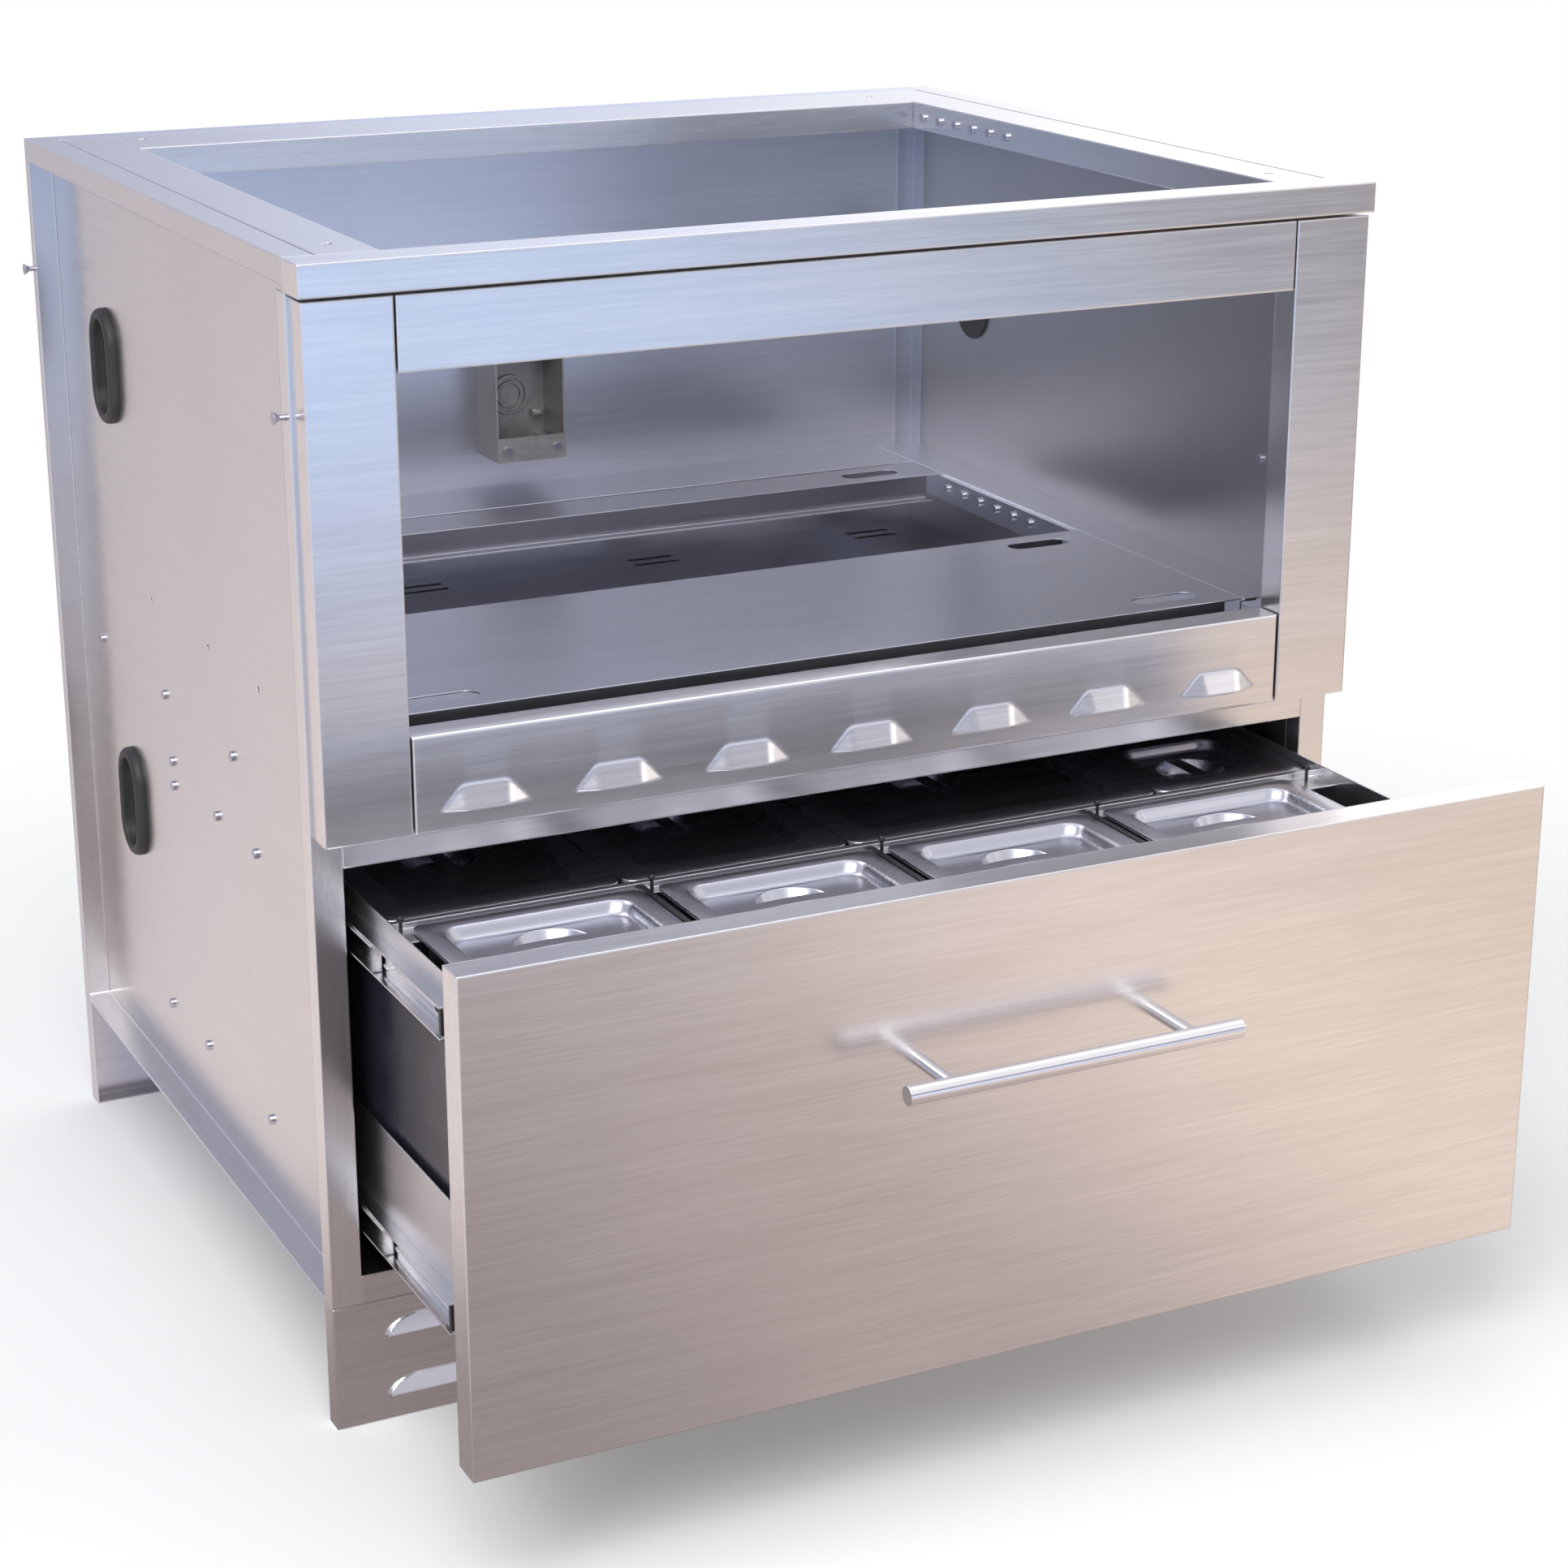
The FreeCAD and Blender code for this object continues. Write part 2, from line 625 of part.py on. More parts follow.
# Plinth panels
toe_y1 = "%s + toe_depth" % body_y
shell, hollow = face_pan("-" + half, half, body_y, toe_y1, "0", "plinth_height")
skin = cut(shell, hollow)
bumps = []
throats = []
for step in range(-2, 3):
    for level in ("brow_low", "brow_high"):
        bumps.append(brow("%d * brow_pitch" % step, level, "0"))
        throats.append(brow("%d * brow_pitch" % step, level, "gauge"))
node("toe_kick_front", cut(fuse([skin] + bumps), throats, "toe_kick_front"))

rear_toe = rear_y + " - toe_depth"
node("toe_kick_rear", fuse([
    block("-" + half, half, rear_y + " - gauge", rear_y, "0", "plinth_height"),
    block("-" + half, half, rear_toe, rear_y, "0", "gauge"),
    block("-" + half, half, rear_toe, rear_y, "plinth_height - gauge", "plinth_height"),
    block("-" + half, "-%s + gauge" % half, rear_toe, rear_y, "0", "plinth_height"),
    block(half + " - gauge", half, rear_toe, rear_y, "0", "plinth_height"),
], "toe_kick_rear"))

# Bay floor: side ledges, rear strip, folded channel and the lift-out shelf
ledge_in = "(%s - ledge_width)" % inner
ledge_drop_x = "(%s - ledge_lip)" % ledge_in
ledge_screw_ys = ["%s - 2 * rail_screw_pitch + 5" % y for y in rail_screw_ys]
ledges = []
for side in (-1, 1):
    y0 = "%s + ledge_start" % body_y
    leg = fuse([
        side_block(side, ledge_in, inner, y0, back_y, shelf_z + " - gauge", shelf_z),
        side_block(side, inner + " - gauge", inner, y0, back_y, shelf_z + " - ledge_leg", shelf_z),
        side_block(side, ledge_drop_x, ledge_in + " + 3 * ledge_lip", y0, back_y,
                   shelf_z + " - 2 * gauge", shelf_z + " - gauge"),
        side_block(side, ledge_drop_x, ledge_drop_x + " + gauge", y0, back_y,
                   shelf_z + " - rail_drop", shelf_z + " - gauge"),
    ])
    x0, x1 = span(side, inner + " - 3", inner + " + 1")
    holes = [rod("x", x0, "%s + %s" % (body_y, distance), ledge_row, hole_r, "4")
             for distance in LEDGE_HOLES]
    x0, x1 = span(side, ledge_drop_x + " - 1", ledge_drop_x + " + gauge + 1")
    holes += [rod("x", x0, y, ledge_screw_z, hole_r, "gauge + 2") for y in ledge_screw_ys]
    ledges.append(cut(leg, holes))
node("shelf_ledges", group(ledges, "shelf_ledges"))

plate_half = "(%s - shelf_fit)" % ledge_in
fold_half = "(%s - fold_in)" % ledge_in
strip_y = back_rail_front
node("shelf_rear_strip", fuse([
    block("-" + plate_half, plate_half, strip_y, back_y, shelf_z + " - gauge", shelf_z),
    block("-" + fold_half, fold_half, strip_y, strip_y + " + gauge", shelf_z + " - rail_lip", shelf_z),
], "shelf_rear_strip"))

channel_y1 = "%s - channel_gap" % strip_y
channel_y0 = "%s - channel_depth" % channel_y1
channel = fuse([
    block("-" + plate_half, plate_half, channel_y0, channel_y1, shelf_z + " - gauge", shelf_z),
    block("-" + fold_half, fold_half, channel_y0, channel_y0 + " + gauge", shelf_z + " - channel_drop",
          shelf_z),
    block("-" + fold_half, fold_half, channel_y0 + " - rail_lip", channel_y0 + " + gauge",
          shelf_z + " - channel_drop", shelf_z + " - channel_drop + gauge"),
])
channel_holes = []
for sign in ("-", ""):
    x = "%s(%s - finger_in - 6)" % (sign, plate_half)
    channel_holes.append(obround("z", shelf_z + " - gauge - 1", shelf_z + " + 1", x, "finger_length",
                                 "finger_width",
                                 "(%s + %s) / 2" % (channel_y0, channel_y1)))
node("shelf_channel", cut(channel, channel_holes, "shelf_channel"))

lift_y0 = "%s + shelf_start" % body_y
lift_y1 = "%s + shelf_start + shelf_depth" % body_y
lift = fuse([
    block("-" + plate_half, plate_half, lift_y0, lift_y1, shelf_z + " - gauge", shelf_z),
    block("-" + fold_half, fold_half, lift_y0, lift_y0 + " + gauge", shelf_z + " - shelf_fold", shelf_z),
    block("-" + fold_half, fold_half, lift_y1 + " - gauge", lift_y1, shelf_z + " - shelf_fold", shelf_z),
])
lift_holes = []
for sign in ("-", ""):
    for y in (lift_y0 + " + finger_end", lift_y1 + " - finger_end"):
        lift_holes.append(obround("z", shelf_z + " - gauge - 1", shelf_z + " + 1",
                                  "%s(%s - finger_in)" % (sign, plate_half), "finger_length",
                                  "finger_width", y))
node("lift_out_shelf", cut(lift, lift_holes, "lift_out_shelf"))

# Heat shield over the drawer
shield_y0 = "%s + 2 * rail_flange + 6" % body_y
shield = fuse([
    block("-" + inner, inner, shield_y0, back_y, shield_z + " - gauge", shield_z),
    block("-" + inner, "-%s + gauge" % inner, shield_y0, back_y, shield_z + " - shield_flange", shield_z),
    block(inner + " - gauge", inner, shield_y0, back_y, shield_z + " - shield_flange", shield_z),
])
shield_holes = []
for step in (-3, -1, 1, 3):
    for set_back in ("28", "46"):
        shield_holes.append(obround("z", shield_z + " - gauge - 1", shield_z + " + 1",
                                    "%d * cab_width / 7.5" % step,
                                    "slot_length", "slot_width", "%s - %s" % (back_y, set_back)))
for x in ("-%s - 1" % inner, inner + " - gauge - 1"):
    for distance in SHIELD_SCREWS:
        shield_holes.append(rod("x", x, "%s + %s" % (body_y, distance), shield_row, hole_r, "gauge + 2"))
node("heat_shield", cut(shield, shield_holes, "heat_shield"))

# Junction box on the back wall of the bay
box_x1 = "(box_left + box_width)"
box_z0 = "(%s + box_lift)" % shelf_z
box_z1 = "(%s + box_lift + box_height)" % shelf_z
box_y0 = "(%s - box_depth)" % back_y
box_shell = block("box_left", box_x1, box_y0, back_y, box_z0, box_z1)
box_hollow = block("box_left + box_wall", box_x1 + " - box_wall", box_y0 + " - 1", back_y + " - box_wall",
                   box_z0 + " + box_wall", box_z1 + " - box_wall")
ear = block("box_left", box_x1, box_y0, box_y0 + " + box_wall", box_z1 + " - box_wall",
            box_z1 + " + box_ear")
ring_x = "(box_left + 0.54 * box_width)"
ring_z = "(%s + 0.51 * box_height)" % box_z0
ring = cut(rod("y", ring_x, back_y + " - box_wall - 0.8", ring_z, "ring_radius", "1.2"),
           [rod("y", ring_x, back_y + " - box_wall - 2", ring_z, "ring_radius - 2.5", "4")])
cover_z = "%s + cover_height / 2" % box_z0
cover_spots = [("box_left + 9", cover_z), ("%s - 9" % box_x1, cover_z)]
posts = [block("%s - 4" % x, "%s + 4" % x, box_y0, back_y, box_z0, "%s + 4" % z) for x, z in cover_spots]
cover_drill = [rod("y", x, box_y0 + " - 2", z, hole_r, "12") for x, z in cover_spots]
node("junction_box", cut(fuse([cut(box_shell, [box_hollow]), ear, ring] + posts), cover_drill,
                         "junction_box"))
cover = block("box_left", box_x1, box_y0 + " - box_wall", box_y0, box_z0, box_z0 + " + cover_height")
cover_holes = [rod("y", x, box_y0 + " - box_wall - 1", z, hole_r, "box_wall + 2") for x, z in cover_spots]
node("junction_cover", cut(cover, cover_holes, "junction_cover"))

# Cable grommets, each closed by a thin web of rubber that is cut where a hose is led through
grommets = []
for side in (-1, 1):
    for y, z in grommet_spots:
        tall = "grommet_height - grommet_width"
        x0, x1 = span(side, inner + " + gauge", inner + " + gauge + grommet_stand")
        collar = obround("x", x0, x1, y, "grommet_width", "grommet_height", z)
        x0, x1 = span(side, inner + " - grommet_wall", inner + " + gauge + 1")
        neck_wide = "grommet_hole + 2 * grommet_wall - 2 * screw_clear"
        neck = obround("x", x0, x1, y, neck_wide, "%s + %s" % (neck_wide, tall), z)
        x0, x1 = span(side, inner + " - grommet_wall", inner)
        heel_wide = "grommet_hole + 4.5 * grommet_wall"
        heel = obround("x", x0, x1, y, heel_wide, "%s + %s" % (heel_wide, tall), z)
        x0, x1 = span(side, inner + " - grommet_wall + grommet_web", inner + " + gauge + grommet_stand + 2")
        recess = obround("x", x0, x1, y, "grommet_hole", "grommet_hole + %s" % tall, z)
        grommets.append(cut(fuse([collar, neck, heel]), [recess]))
node("side_grommets", group(grommets, "side_grommets"))


def screw(axis, sign, x, y, z, shank):
    """Round-head screw: the head stands off the surface, the shank runs the other way."""
    place = {"x": x, "y": y, "z": z}
    head_at = dict(place)
    shank_at = dict(place)
    if sign > 0:
        shank_at[axis] = "%s - %s" % (place[axis], shank)
    else:
        head_at[axis] = "%s - screw_dome" % place[axis]
    grip = "%s + 0.5" % shank
    if sign < 0:
        shank_at[axis] = "%s - 0.5" % place[axis]
    head = rod(axis, head_at["x"], head_at["y"], head_at["z"], "screw_head / 2", "screw_dome")
    stem = rod(axis, shank_at["x"], shank_at["y"], shank_at["z"], "screw_shank / 2", grip)
    return fuse([head, stem])


# Screws of the sides, the stiles and the junction cover
screws = []
for side in (-1, 1):
    face = "(%s + gauge)" % inner
    face = face if side > 0 else "-" + face
    for y, z in side_spots():
        screws.append(screw("x", side, face, y, z, "1.8 * gauge"))
    x_mid = stile_screw_x if side > 0 else "-" + stile_screw_x
    for z in stile_screw_zs:
        screws.append(screw("y", 1, x_mid, body_y + " + gauge", z, "4 * gauge"))
    if side > 0:
        for y, z in wall_screw_spots:
            screws.append(screw("x", -1, inner, y, z, "3 * gauge"))
for x, z in cover_spots:
    screws.append(screw("y", -1, x, box_y0 + " - box_wall", z, "6"))
node("panel_screws", group(screws, "panel_screws"))

rail_screws = []
for side in (-1, 1):
    face = cut_half if side > 0 else "-" + cut_half
    for y in rail_screw_ys:
        rail_screws.append(screw("x", -side, face, y, rail_screw_z, "4 * gauge"))
    face = ledge_drop_x if side > 0 else "-" + ledge_drop_x
    for y in ledge_screw_ys:
        rail_screws.append(screw("x", -side, face, y, ledge_screw_z, "4 * gauge"))
node("rail_screws", group(rail_screws, "rail_screws"))

# Flared hanging studs on the outer lips, two on each side
studs = []
for side in (-1, 1):
    for y in stud_ys:
        cone = doc.addObject("Part::Cone", fresh("cone"))
        turn = FreeCAD.Rotation(FreeCAD.Vector(0, 1, 0), 90 * side)
        cone.Placement = FreeCAD.Placement(FreeCAD.Vector(), turn)
        cone.setExpression("Radius1", bind("screw_shank / 2"))
        cone.setExpression("Radius2", bind("stud_head / 2"))
        cone.setExpression("Height", bind("stud_length / 2"))
        sign = "" if side > 0 else "-"
        put(cone, "%s(%s + stud_length / 2)" % (sign, half), y, stud_z)
        x0, x1 = span(side, half + " - gauge - 1.5", half + " + stud_length * 0.6")
        neck = rod("x", x0, y, stud_z, "screw_shank / 2", "(%s) - (%s)" % (x1, x0))
        x0, x1 = span(side, half + " - gauge - 1.5", half + " - gauge")
        collar = rod("x", x0, y, stud_z, "stud_collar / 2", "1.5")
        studs.append(fuse([cone, neck, collar]))
node("hang_studs", group(studs, "hang_studs"))

# Telescopic slides: the largest channel is on the drawer, the smallest on the cabinet side
box_half = "(%s - slide_space)" % inner
cab_tall = "(slide_height / 2 - 2 * gauge - 2 * run_gap)"
mid_tall = "(slide_height / 2 - gauge - run_gap)"
drw_tall = "(slide_height / 2)"
slide_y = "(%s + slide_start)" % body_y


def channel_member(side, web_near, web_far, lip_near, lip_far, tall, zc, y0, length):
    """C-shaped slide member: one web and two lips."""
    y1 = "%s + %s" % (y0, length)
    return fuse([
        side_block(side, web_near, web_far, y0, y1, "%s - %s" % (zc, tall), "%s + %s" % (zc, tall)),
        side_block(side, lip_near, lip_far, y0, y1, "%s + %s - gauge" % (zc, tall), "%s + %s" % (zc, tall)),
        side_block(side, lip_near, lip_far, y0, y1, "%s - %s" % (zc, tall), "%s - %s + gauge" % (zc, tall)),
    ])


fixed_members = []
middle_members = []
drawer_members = []
bumpers = []
for side in (-1, 1):
    for level in ("upper", "lower"):
        zc = slide_zs[level]
        fixed = channel_member(side, inner + " - gauge", inner, box_half + " + 4.7", inner, cab_tall, zc,
                               slide_y, "slide_length")
        x0, x1 = span(side, inner + " - gauge - 1", inner + " + 1")
        drill = [rod("x", x0, "%s + %s" % (body_y, distance), "%s + (%s)" % (zc, offset), hole_r, "gauge + 2")
                 for distance, offset in SLIDE_SCREWS[level]]
        fixed_members.append(cut(fixed, drill))
        middle_members.append(channel_member(side, box_half + " + 2.7", box_half + " + 2.7 + gauge",
                                             box_half + " + 2.7", inner + " - gauge - 0.8", mid_tall, zc,
                                             slide_y + " - drawer_open / 2", "slide_length"))
        drawer_start = slide_y + " - drawer_open - slide_lead"
        drawer_members.append(channel_member(side, box_half, box_half + " + gauge", box_half,
                                             box_half + " + 10",
                                             drw_tall, zc, drawer_start, "slide_length + slide_lead"))
        bumpers.append(side_block(side, box_half + " + gauge", box_half + " + 9", drawer_start,
                                  drawer_start + " + 4",
                                  "%s - %s + 3" % (zc, drw_tall), "%s + %s - 3" % (zc, drw_tall)))
node("slide_cabinet_members", group(fixed_members, "slide_cabinet_members"))
node("slide_middle_members", group(middle_members, "slide_middle_members"))
node("slide_drawer_members", group(drawer_members, "slide_drawer_members"))
node("slide_bumpers", group(bumpers, "slide_bumpers"))

# Drawer front, liner and handle
front_half = "(cab_width / 2 - front_inset)"
front_y = "(%s - front_depth)" % drawer_y
shell, hollow = face_pan("-" + front_half, front_half, front_y, drawer_y, front_z0, front_z1,
                         "front_flange")
handle_z = "(%s - handle_drop)" % front_z1
bar_y = "(%s - handle_stand)" % front_y
post_spots = ["-handle_centres / 2", "handle_centres / 2"]
drill = [rod("y", x, front_y + " - 1", handle_z, hole_r, "gauge + 2") for x in post_spots]
node("drawer_front", cut(shell, hollow + drill, "drawer_front"))
node("drawer_liner", block("-" + box_half, box_half, drawer_y, drawer_y + " + gauge", floor_z, wall_z,
                           "drawer_liner"))
node("handle_bar", rod("x", "-handle_length / 2", bar_y, handle_z, "handle_bar_d / 2", "handle_length",
                       "handle_bar"))
handle_posts = []
for x in post_spots:
    stem = rod("y", x, bar_y, handle_z, "handle_post_d / 2", "handle_stand")
    saddle = rod("x", "%s - handle_post_d" % x, bar_y, handle_z, "handle_bar_d / 2 + 0.1",
                 "2 * handle_post_d")
    tail = rod("y", x, front_y + " - 1", handle_z, "screw_shank / 2", "6")
    handle_posts.append(fuse([cut(stem, [saddle]), tail]))
node("handle_posts", group(handle_posts, "handle_posts"))

# Drawer box
box_y0d = "(%s + gauge)" % drawer_y
box_y1d = "(%s + %s)" % (drawer_y, drawer_depth)
wall_in = "(%s - gauge)" % box_half
for side, word in ((-1, "left"), (1, "right")):
    wall = side_block(side, wall_in, box_half, box_y0d, box_y1d, floor_z, wall_z)
    x0, x1 = span(side, wall_in + " - 1", box_half + " + 1")
    window = block(x0, x1, drawer_y + " + 40", box_y1d + " - 100", floor_z + " + window_low",
                   floor_z + " + window_low + window_height")
    node("drawer_side_" + word, cut(wall, [window], "drawer_side_" + word))
node("drawer_back", block("-" + wall_in, wall_in, box_y1d + " - gauge", box_y1d, floor_z,
                          wall_z + " - 12", "drawer_back"))
node("drawer_floor", block("-" + wall_in, wall_in, box_y0d, box_y1d + " - gauge", floor_z,
                           floor_z + " + gauge",
                           "drawer_floor"))

# Pan rows: the rims rest on cross bars, the lids rest on the rims
lid_top = "(%s - deck_drop)" % wall_z
rim_top = "(%s - lid_thick)" % lid_top
bar_top = "(%s - rim_thick)" % rim_top
row1_y0 = "(%s + pan_start)" % drawer_y
row1_y1 = "(%s + pan_start + pan_front)" % drawer_y
row2_y0 = "(%s + pan_start + pan_front + row_gap)" % drawer_y
pan_rear = "(%s - pan_start - pan_front - row_gap - pan_tail)" % drawer_depth
row2_y1 = "(%s - pan_tail)" % box_y1d
row_x0 = "(-%s + pan_left)" % wall_in
row_x1 = "(%s - pan_right)" % wall_in
pan_wide = "((2 * %s - pan_left - pan_right - 3 * pan_gap) / 4)" % wall_in


rear_wide = "(2 * rear_share * %s)" % wall_in
half_wide = "(2 * half_share * %s)" % wall_in
short_wide = "(2 * %s - 2 * rear_side - 2 * %s - %s - 3 * rear_gap)" % (wall_in, rear_wide, half_wide)


def front_edge(index):
    """Left edge of a front pan."""
    return "(%s + %d * (%s + pan_gap))" % (row_x0, index, pan_wide)


def rear_edge(index):
    """Left edge of a rear pan: two third-size ones, a wider one, then the narrow last column."""
    edge = "-%s + rear_side + %d * (%s + rear_gap)" % (wall_in, min(index, 2), rear_wide)
    if index > 2:
        edge += " + %s + rear_gap" % half_wide
    return "(%s)" % edge


def pan_master(wide, length, name):
    """Open pan with a flat rim, drawn about its front-left rim corner with the rim's top at zero."""
    rim = rounded("0", wide, "0", length, "-rim_thick", "0", "pan_rim + 4")
    body = rounded("pan_rim", wide + " - pan_rim", "pan_rim", length + " - pan_rim", "-pan_depth",
                   "0", "12")
    hollow = rounded("pan_rim + pan_wall", wide + " - pan_rim - pan_wall", "pan_rim + pan_wall",
                     length + " - pan_rim - pan_wall", "-pan_depth + pan_wall", "1", "11")
    return cut(fuse([rim, body]), [hollow], name)


def lid_master(wide, length, border, strap, name):
    """Lid with a sunk tray and a round grip hollow bridged along one axis; the flange's foot is at zero."""
    flange = rounded("0", wide, "0", length, "0", "lid_thick", "pan_rim + 4")
    tray = rounded(border, "%s - %s" % (wide, border), border, "%s - %s" % (length, border),
                   "-lid_recess", "lid_thick", "14")
    well = rounded(border + " + lid_sheet", "%s - %s - lid_sheet" % (wide, border), border + " + lid_sheet",
                   "%s - %s - lid_sheet" % (length, border), "-lid_recess + lid_sheet", "lid_thick + 1",
                   "12.8")
    mid_x = wide + " / 2"
    mid_y = "(%s) / 2" % length
    cup = rod("z", mid_x, mid_y, "-lid_recess - grip_depth", "grip_radius + lid_sheet",
              "grip_depth + lid_sheet")
    dip = rod("z", mid_x, mid_y, "-lid_recess - grip_depth + lid_sheet", "grip_radius",
              "grip_depth + lid_recess")
    reach_x, reach_y = "grip_bridge / 2", "(grip_radius + 0.5)"
    if strap == "x":
        reach_x, reach_y = reach_y, reach_x
    bridge = block("%s - %s" % (mid_x, reach_x), "%s + %s" % (mid_x, reach_x),
                   "%s - %s" % (mid_y, reach_y), "%s + %s" % (mid_y, reach_y),
                   "-lid_recess", "-lid_recess + lid_sheet + 0.6")
    return fuse([cut(fuse([flange, tray, cup]), [well, dip]), bridge], name)


# The front row has four small pans, the rear row two long ones, a wide one and two short ones
short_length = "((%s - pan_gap) / 2)" % pan_rear
masters = {}
for word, wide, length, border, strap in (("front", pan_wide, "pan_front", "lid_flange", "x"),
                                          ("rear", rear_wide, pan_rear, "rear_flange", "y"),
                                          ("half", half_wide, pan_rear, "rear_flange", "y"),
                                          ("short", short_wide, short_length, "rear_flange", "y")):
    masters[word] = (pan_master(wide, length, "pan_shape_" + word),
                     lid_master(wide, length, border, strap, "lid_shape_" + word))
seats = {
    "front": [("front", front_edge(column), row1_y0) for column in range(4)],
    "rear": [
        ("rear", rear_edge(0), row2_y0),
        ("rear", rear_edge(1), row2_y0),
        ("half", rear_edge(2), row2_y0),
        ("short", rear_edge(3), row2_y0),
        ("short", rear_edge(3), "(%s + %s + pan_gap)" % (row2_y0, short_length)),
    ],
}
for word, places in seats.items():
    row = []
    for index, (shape, x0, y0) in enumerate(places):
        pan, lid = masters[shape]
        name = "lid_%s_%d" % (word, index + 1)
        row.append(copy_at(pan, "pan_%s_%d" % (word, index + 1), x0, y0, rim_top))
        node(name, copy_at(lid, name, x0, y0, rim_top))
    node("pans_" + word, group(row, "pans_" + word))

bar_z0 = "%s - bar_thick" % bar_top
mid_y0 = "%s - pan_rim + 0.3" % row1_y1
mid_y1 = "%s + pan_rim - 0.3" % row2_y0
ridge_y0 = "%s + 3" % row1_y1
ridge_y1 = "%s - 3" % row2_y0
mid_bar = fuse([
    block("-" + wall_in, wall_in, mid_y0, mid_y1, bar_z0, bar_top),
    block("-" + wall_in, wall_in, ridge_y0, ridge_y1, bar_z0, lid_top + " + 1"),
    block("-" + wall_in, wall_in, ridge_y0, ridge_y0 + " + gauge", "%s - bar_web" % bar_top, bar_top),
    block("-" + wall_in, row_x0 + " - 0.7", "%s - 2 * row_gap" % row1_y1, mid_y1, bar_z0, bar_top),
    block(row_x1 + " + 0.7", wall_in, "%s - 2 * row_gap" % row1_y1, mid_y1, bar_z0, bar_top),
])
bars = [mid_bar]
deck_y = "(%s + bin_start)" % drawer_y
for y0, y1, web in ((deck_y, row1_y0 + " + pan_rim - 0.3", deck_y),
                    (row2_y1 + " - pan_rim + 0.3", row2_y1 + " + 16", row2_y1 + " + 16 - gauge")):
    bars.append(fuse([
        block("-" + wall_in, wall_in, y0, y1, bar_z0, bar_top),
        block("-" + wall_in, wall_in, web, web + " + gauge", "%s - bar_web" % bar_top, bar_top),
    ]))
short_y = "(%s + %s + pan_gap / 2)" % (row2_y0, short_length)
short_half = "(pan_gap / 2 + pan_rim - 0.3)"
bars.append(block(rear_edge(3) + " - rear_gap - pan_rim + 0.6", wall_in, "%s - %s" % (short_y, short_half),
                  "%s + %s" % (short_y, short_half), bar_z0, bar_top))
node("pan_bars", group(bars, "pan_bars"))

dividers = []
hooks = []
hook_y = "(%s - 6)" % row1_y1
hook_xs = [row_x0 + " - pan_left / 2", row_x1 + " + pan_right / 2"]
for index in range(3):
    x0 = "%s + %s + 0.8" % (front_edge(index), pan_wide)
    dividers.append(block(x0, x0 + " + divider_width", row1_y0 + " - 14", row1_y1 + " + 1", bar_top,
                          lid_top))
    hook_xs.append(x0 + " + divider_width + 3")
for x in hook_xs:
    ball = doc.addObject("Part::Sphere", fresh("ball"))
    ball.setExpression("Radius", bind("2 * hook_radius"))
    put(ball, x, hook_y, bar_top + " + hook_height")
    hooks.append(fuse([rod("z", x, hook_y, bar_top, "hook_radius", "hook_height"), ball]))
node("pan_dividers", group(dividers, "pan_dividers"))
node("pan_hooks", group(hooks, "pan_hooks"))

# Warming bin under the pans, with its heater and terminal box
bin_half = "(%s - bin_in)" % wall_in
bin_y0 = "(%s + bin_start)" % drawer_y
bin_y1 = "(%s - bin_end)" % box_y1d
bin_z1 = "(%s - bin_drop)" % bar_top
bin_z0 = "(%s - bin_drop - bin_height)" % bar_top
bin_shell = fuse([
    block("-" + bin_half, bin_half, bin_y0, bin_y1, bin_z0, bin_z1),
    block("-" + wall_in, wall_in, bin_y0, bin_y1, bin_z1 + " - gauge", bin_z1),
])
bin_hollow = block("-%s + gauge" % bin_half, bin_half + " - gauge", bin_y0 + " + gauge",
                   bin_y1 + " - gauge",
                   bin_z0 + " + gauge", bin_z1 + " + 1")
heater_z = "(%s + heater_lift)" % bin_z0
stub_x = "(terminal_half / 2)"
entry = [rod("y", x, bin_y1 + " - 3", heater_z, "heater_radius + screw_clear",
             "6") for x in ("-" + stub_x, stub_x)]
node("warm_bin", cut(bin_shell, [bin_hollow] + entry, "warm_bin"))


def bend(xc, yc, start):
    """Quarter turn of the heater tube about an upright axis."""
    thing = doc.addObject("Part::Torus", fresh("bend"))
    thing.Placement = FreeCAD.Placement(FreeCAD.Vector(), FreeCAD.Rotation(FreeCAD.Vector(0, 0, 1), start))
    thing.setExpression("Radius1", bind("heater_bend"))
    thing.setExpression("Radius2", bind("heater_radius"))
    thing.Angle3 = 90
    put(thing, xc, yc, heater_z)
    return thing


loop_y0 = "(%s + 70)" % bin_y0
loop_y1 = "(%s - 60)" % bin_y1
tube = []
run_x = "(heater_half - heater_bend)"
tube.append(rod("x", "-" + run_x, loop_y0, heater_z, "heater_radius", "2 * " + run_x))
for side in (-1, 1):
    sign = "-" if side < 0 else ""
    tube.append(rod("y", sign + "heater_half", loop_y0 + " + heater_bend", heater_z, "heater_radius",
                    "%s - %s - 2 * heater_bend" % (loop_y1, loop_y0)))
    tube.append(bend(sign + run_x, loop_y0 + " + heater_bend", 180 if side < 0 else 270))
    tube.append(bend(sign + run_x, loop_y1 + " - heater_bend", 90 if side < 0 else 0))
    near = "(%s + heater_bend)" % stub_x
    x_from = "-" + run_x if side < 0 else near
    tube.append(rod("x", x_from, loop_y1, heater_z, "heater_radius", "%s - %s" % (run_x, near)))
    tube.append(bend("%s%s" % (sign, near), loop_y1 + " + heater_bend", 270 if side < 0 else 180))
    tube.append(rod("y", sign + stub_x, loop_y1 + " + heater_bend", heater_z, "heater_radius",
                    "%s + 12 - %s - heater_bend" % (bin_y1, loop_y1)))
node("heater_element", fuse(tube, "heater_element"))

